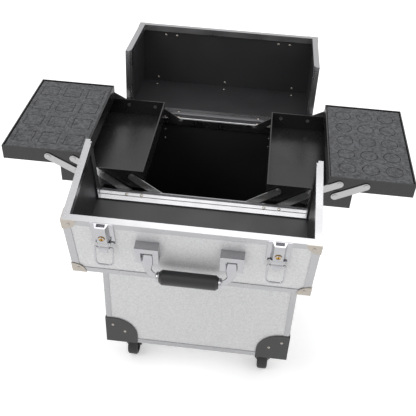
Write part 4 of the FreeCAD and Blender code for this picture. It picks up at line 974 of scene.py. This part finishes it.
class CASE_OT_studio(bpy.types.Operator):
    """Build the white studio: floor, world, lamps and camera"""
    bl_idname = "case.studio"
    bl_label = "Studio"

    def execute(self, context):
        scene = context.scene
        floor_z = CAD_BOX[0][2]
        bm = bmesh.new()
        bmesh.ops.create_grid(bm, x_segments=1, y_segments=1, size=FLOOR_REACH)
        bmesh.ops.translate(bm, verts=bm.verts, vec=(0, 0, floor_z))
        mesh = bpy.data.meshes.new("studio_floor")
        bm.to_mesh(mesh)
        bm.free()
        floor = bpy.data.objects.new("studio_floor", mesh)
        scene.collection.objects.link(floor)
        material = bpy.data.materials.new("studio_white")
        material.use_nodes = True
        tree = material.node_tree
        set_inputs(tree.nodes["Principled BSDF"], Base_Color=(*looks().floor, 1.0), Roughness=0.9,
                   Emission_Color=(1, 1, 1, 1), Emission_Strength=FLOOR_GLOW)
        mesh.materials.append(material)

        world = bpy.data.worlds.new("studio_world")
        scene.world = world
        world.use_nodes = True
        tree = world.node_tree
        tree.nodes.clear()
        path = add_node(tree, "ShaderNodeLightPath")
        seen = add_node(tree, "ShaderNodeBackground")
        set_inputs(seen, Color=(1, 1, 1, 1), Strength=1.0)
        lit = add_node(tree, "ShaderNodeBackground")
        set_inputs(lit, Color=(1, 1, 1, 1), Strength=WORLD_LIGHT)
        mix = add_node(tree, "ShaderNodeMixShader")
        out = add_node(tree, "ShaderNodeOutputWorld")
        camera_or_glossy = add_node(tree, "ShaderNodeMath", operation="MAXIMUM")
        any_seen = add_node(tree, "ShaderNodeMath", operation="MAXIMUM")
        tree.links.new(path.outputs["Is Camera Ray"], camera_or_glossy.inputs[0])
        tree.links.new(path.outputs["Is Glossy Ray"], camera_or_glossy.inputs[1])
        tree.links.new(camera_or_glossy.outputs[0], any_seen.inputs[0])
        tree.links.new(path.outputs["Is Transmission Ray"], any_seen.inputs[1])
        tree.links.new(any_seen.outputs[0], mix.inputs[0])
        tree.links.new(lit.outputs[0], mix.inputs[1])
        tree.links.new(seen.outputs[0], mix.inputs[2])
        tree.links.new(mix.outputs[0], out.inputs["Surface"])

        for lamp in LAMPS:
            add_lamp(*lamp)

        camera = bpy.data.cameras.new("case_camera")
        camera.sensor_width = 36
        camera.lens = CAMERA_LENS
        thing = bpy.data.objects.new("case_camera", camera)
        thing.matrix_world = camera_matrix()
        scene.collection.objects.link(thing)
        scene.camera = thing
        scene.view_settings.view_transform = "Standard"
        return {"FINISHED"}


class CASE_PT_panel(bpy.types.Panel):
    bl_idname = "CASE_PT_panel"
    bl_label = "Makeup case"
    bl_space_type = "VIEW_3D"
    bl_region_type = "UI"
    bl_category = "Case"

    def draw(self, context):
        for operator in OPERATORS:
            self.layout.operator(operator.bl_idname)


OPERATORS = (CASE_OT_finishes, CASE_OT_rivets, CASE_OT_bails, CASE_OT_handle, CASE_OT_foam,
             CASE_OT_casters, CASE_OT_studio)
CLASSES = (CaseColours, CaseSizes) + OPERATORS + (CASE_PT_panel,)


def register():
    for each in CLASSES:
        bpy.utils.register_class(each)
    bpy.types.Scene.case_colours = PointerProperty(type=CaseColours)
    bpy.types.Scene.case_sizes = PointerProperty(type=CaseSizes)


def unregister():
    del bpy.types.Scene.case_sizes
    del bpy.types.Scene.case_colours
    for each in reversed(CLASSES):
        bpy.utils.unregister_class(each)


def main():
    register()
    bpy.ops.case.finishes()
    bpy.ops.case.rivets()
    bpy.ops.case.bails()
    bpy.ops.case.handle()
    bpy.ops.case.foam()
    bpy.ops.case.casters()
    bpy.ops.case.studio()


if __name__ == "__main__":
    main()
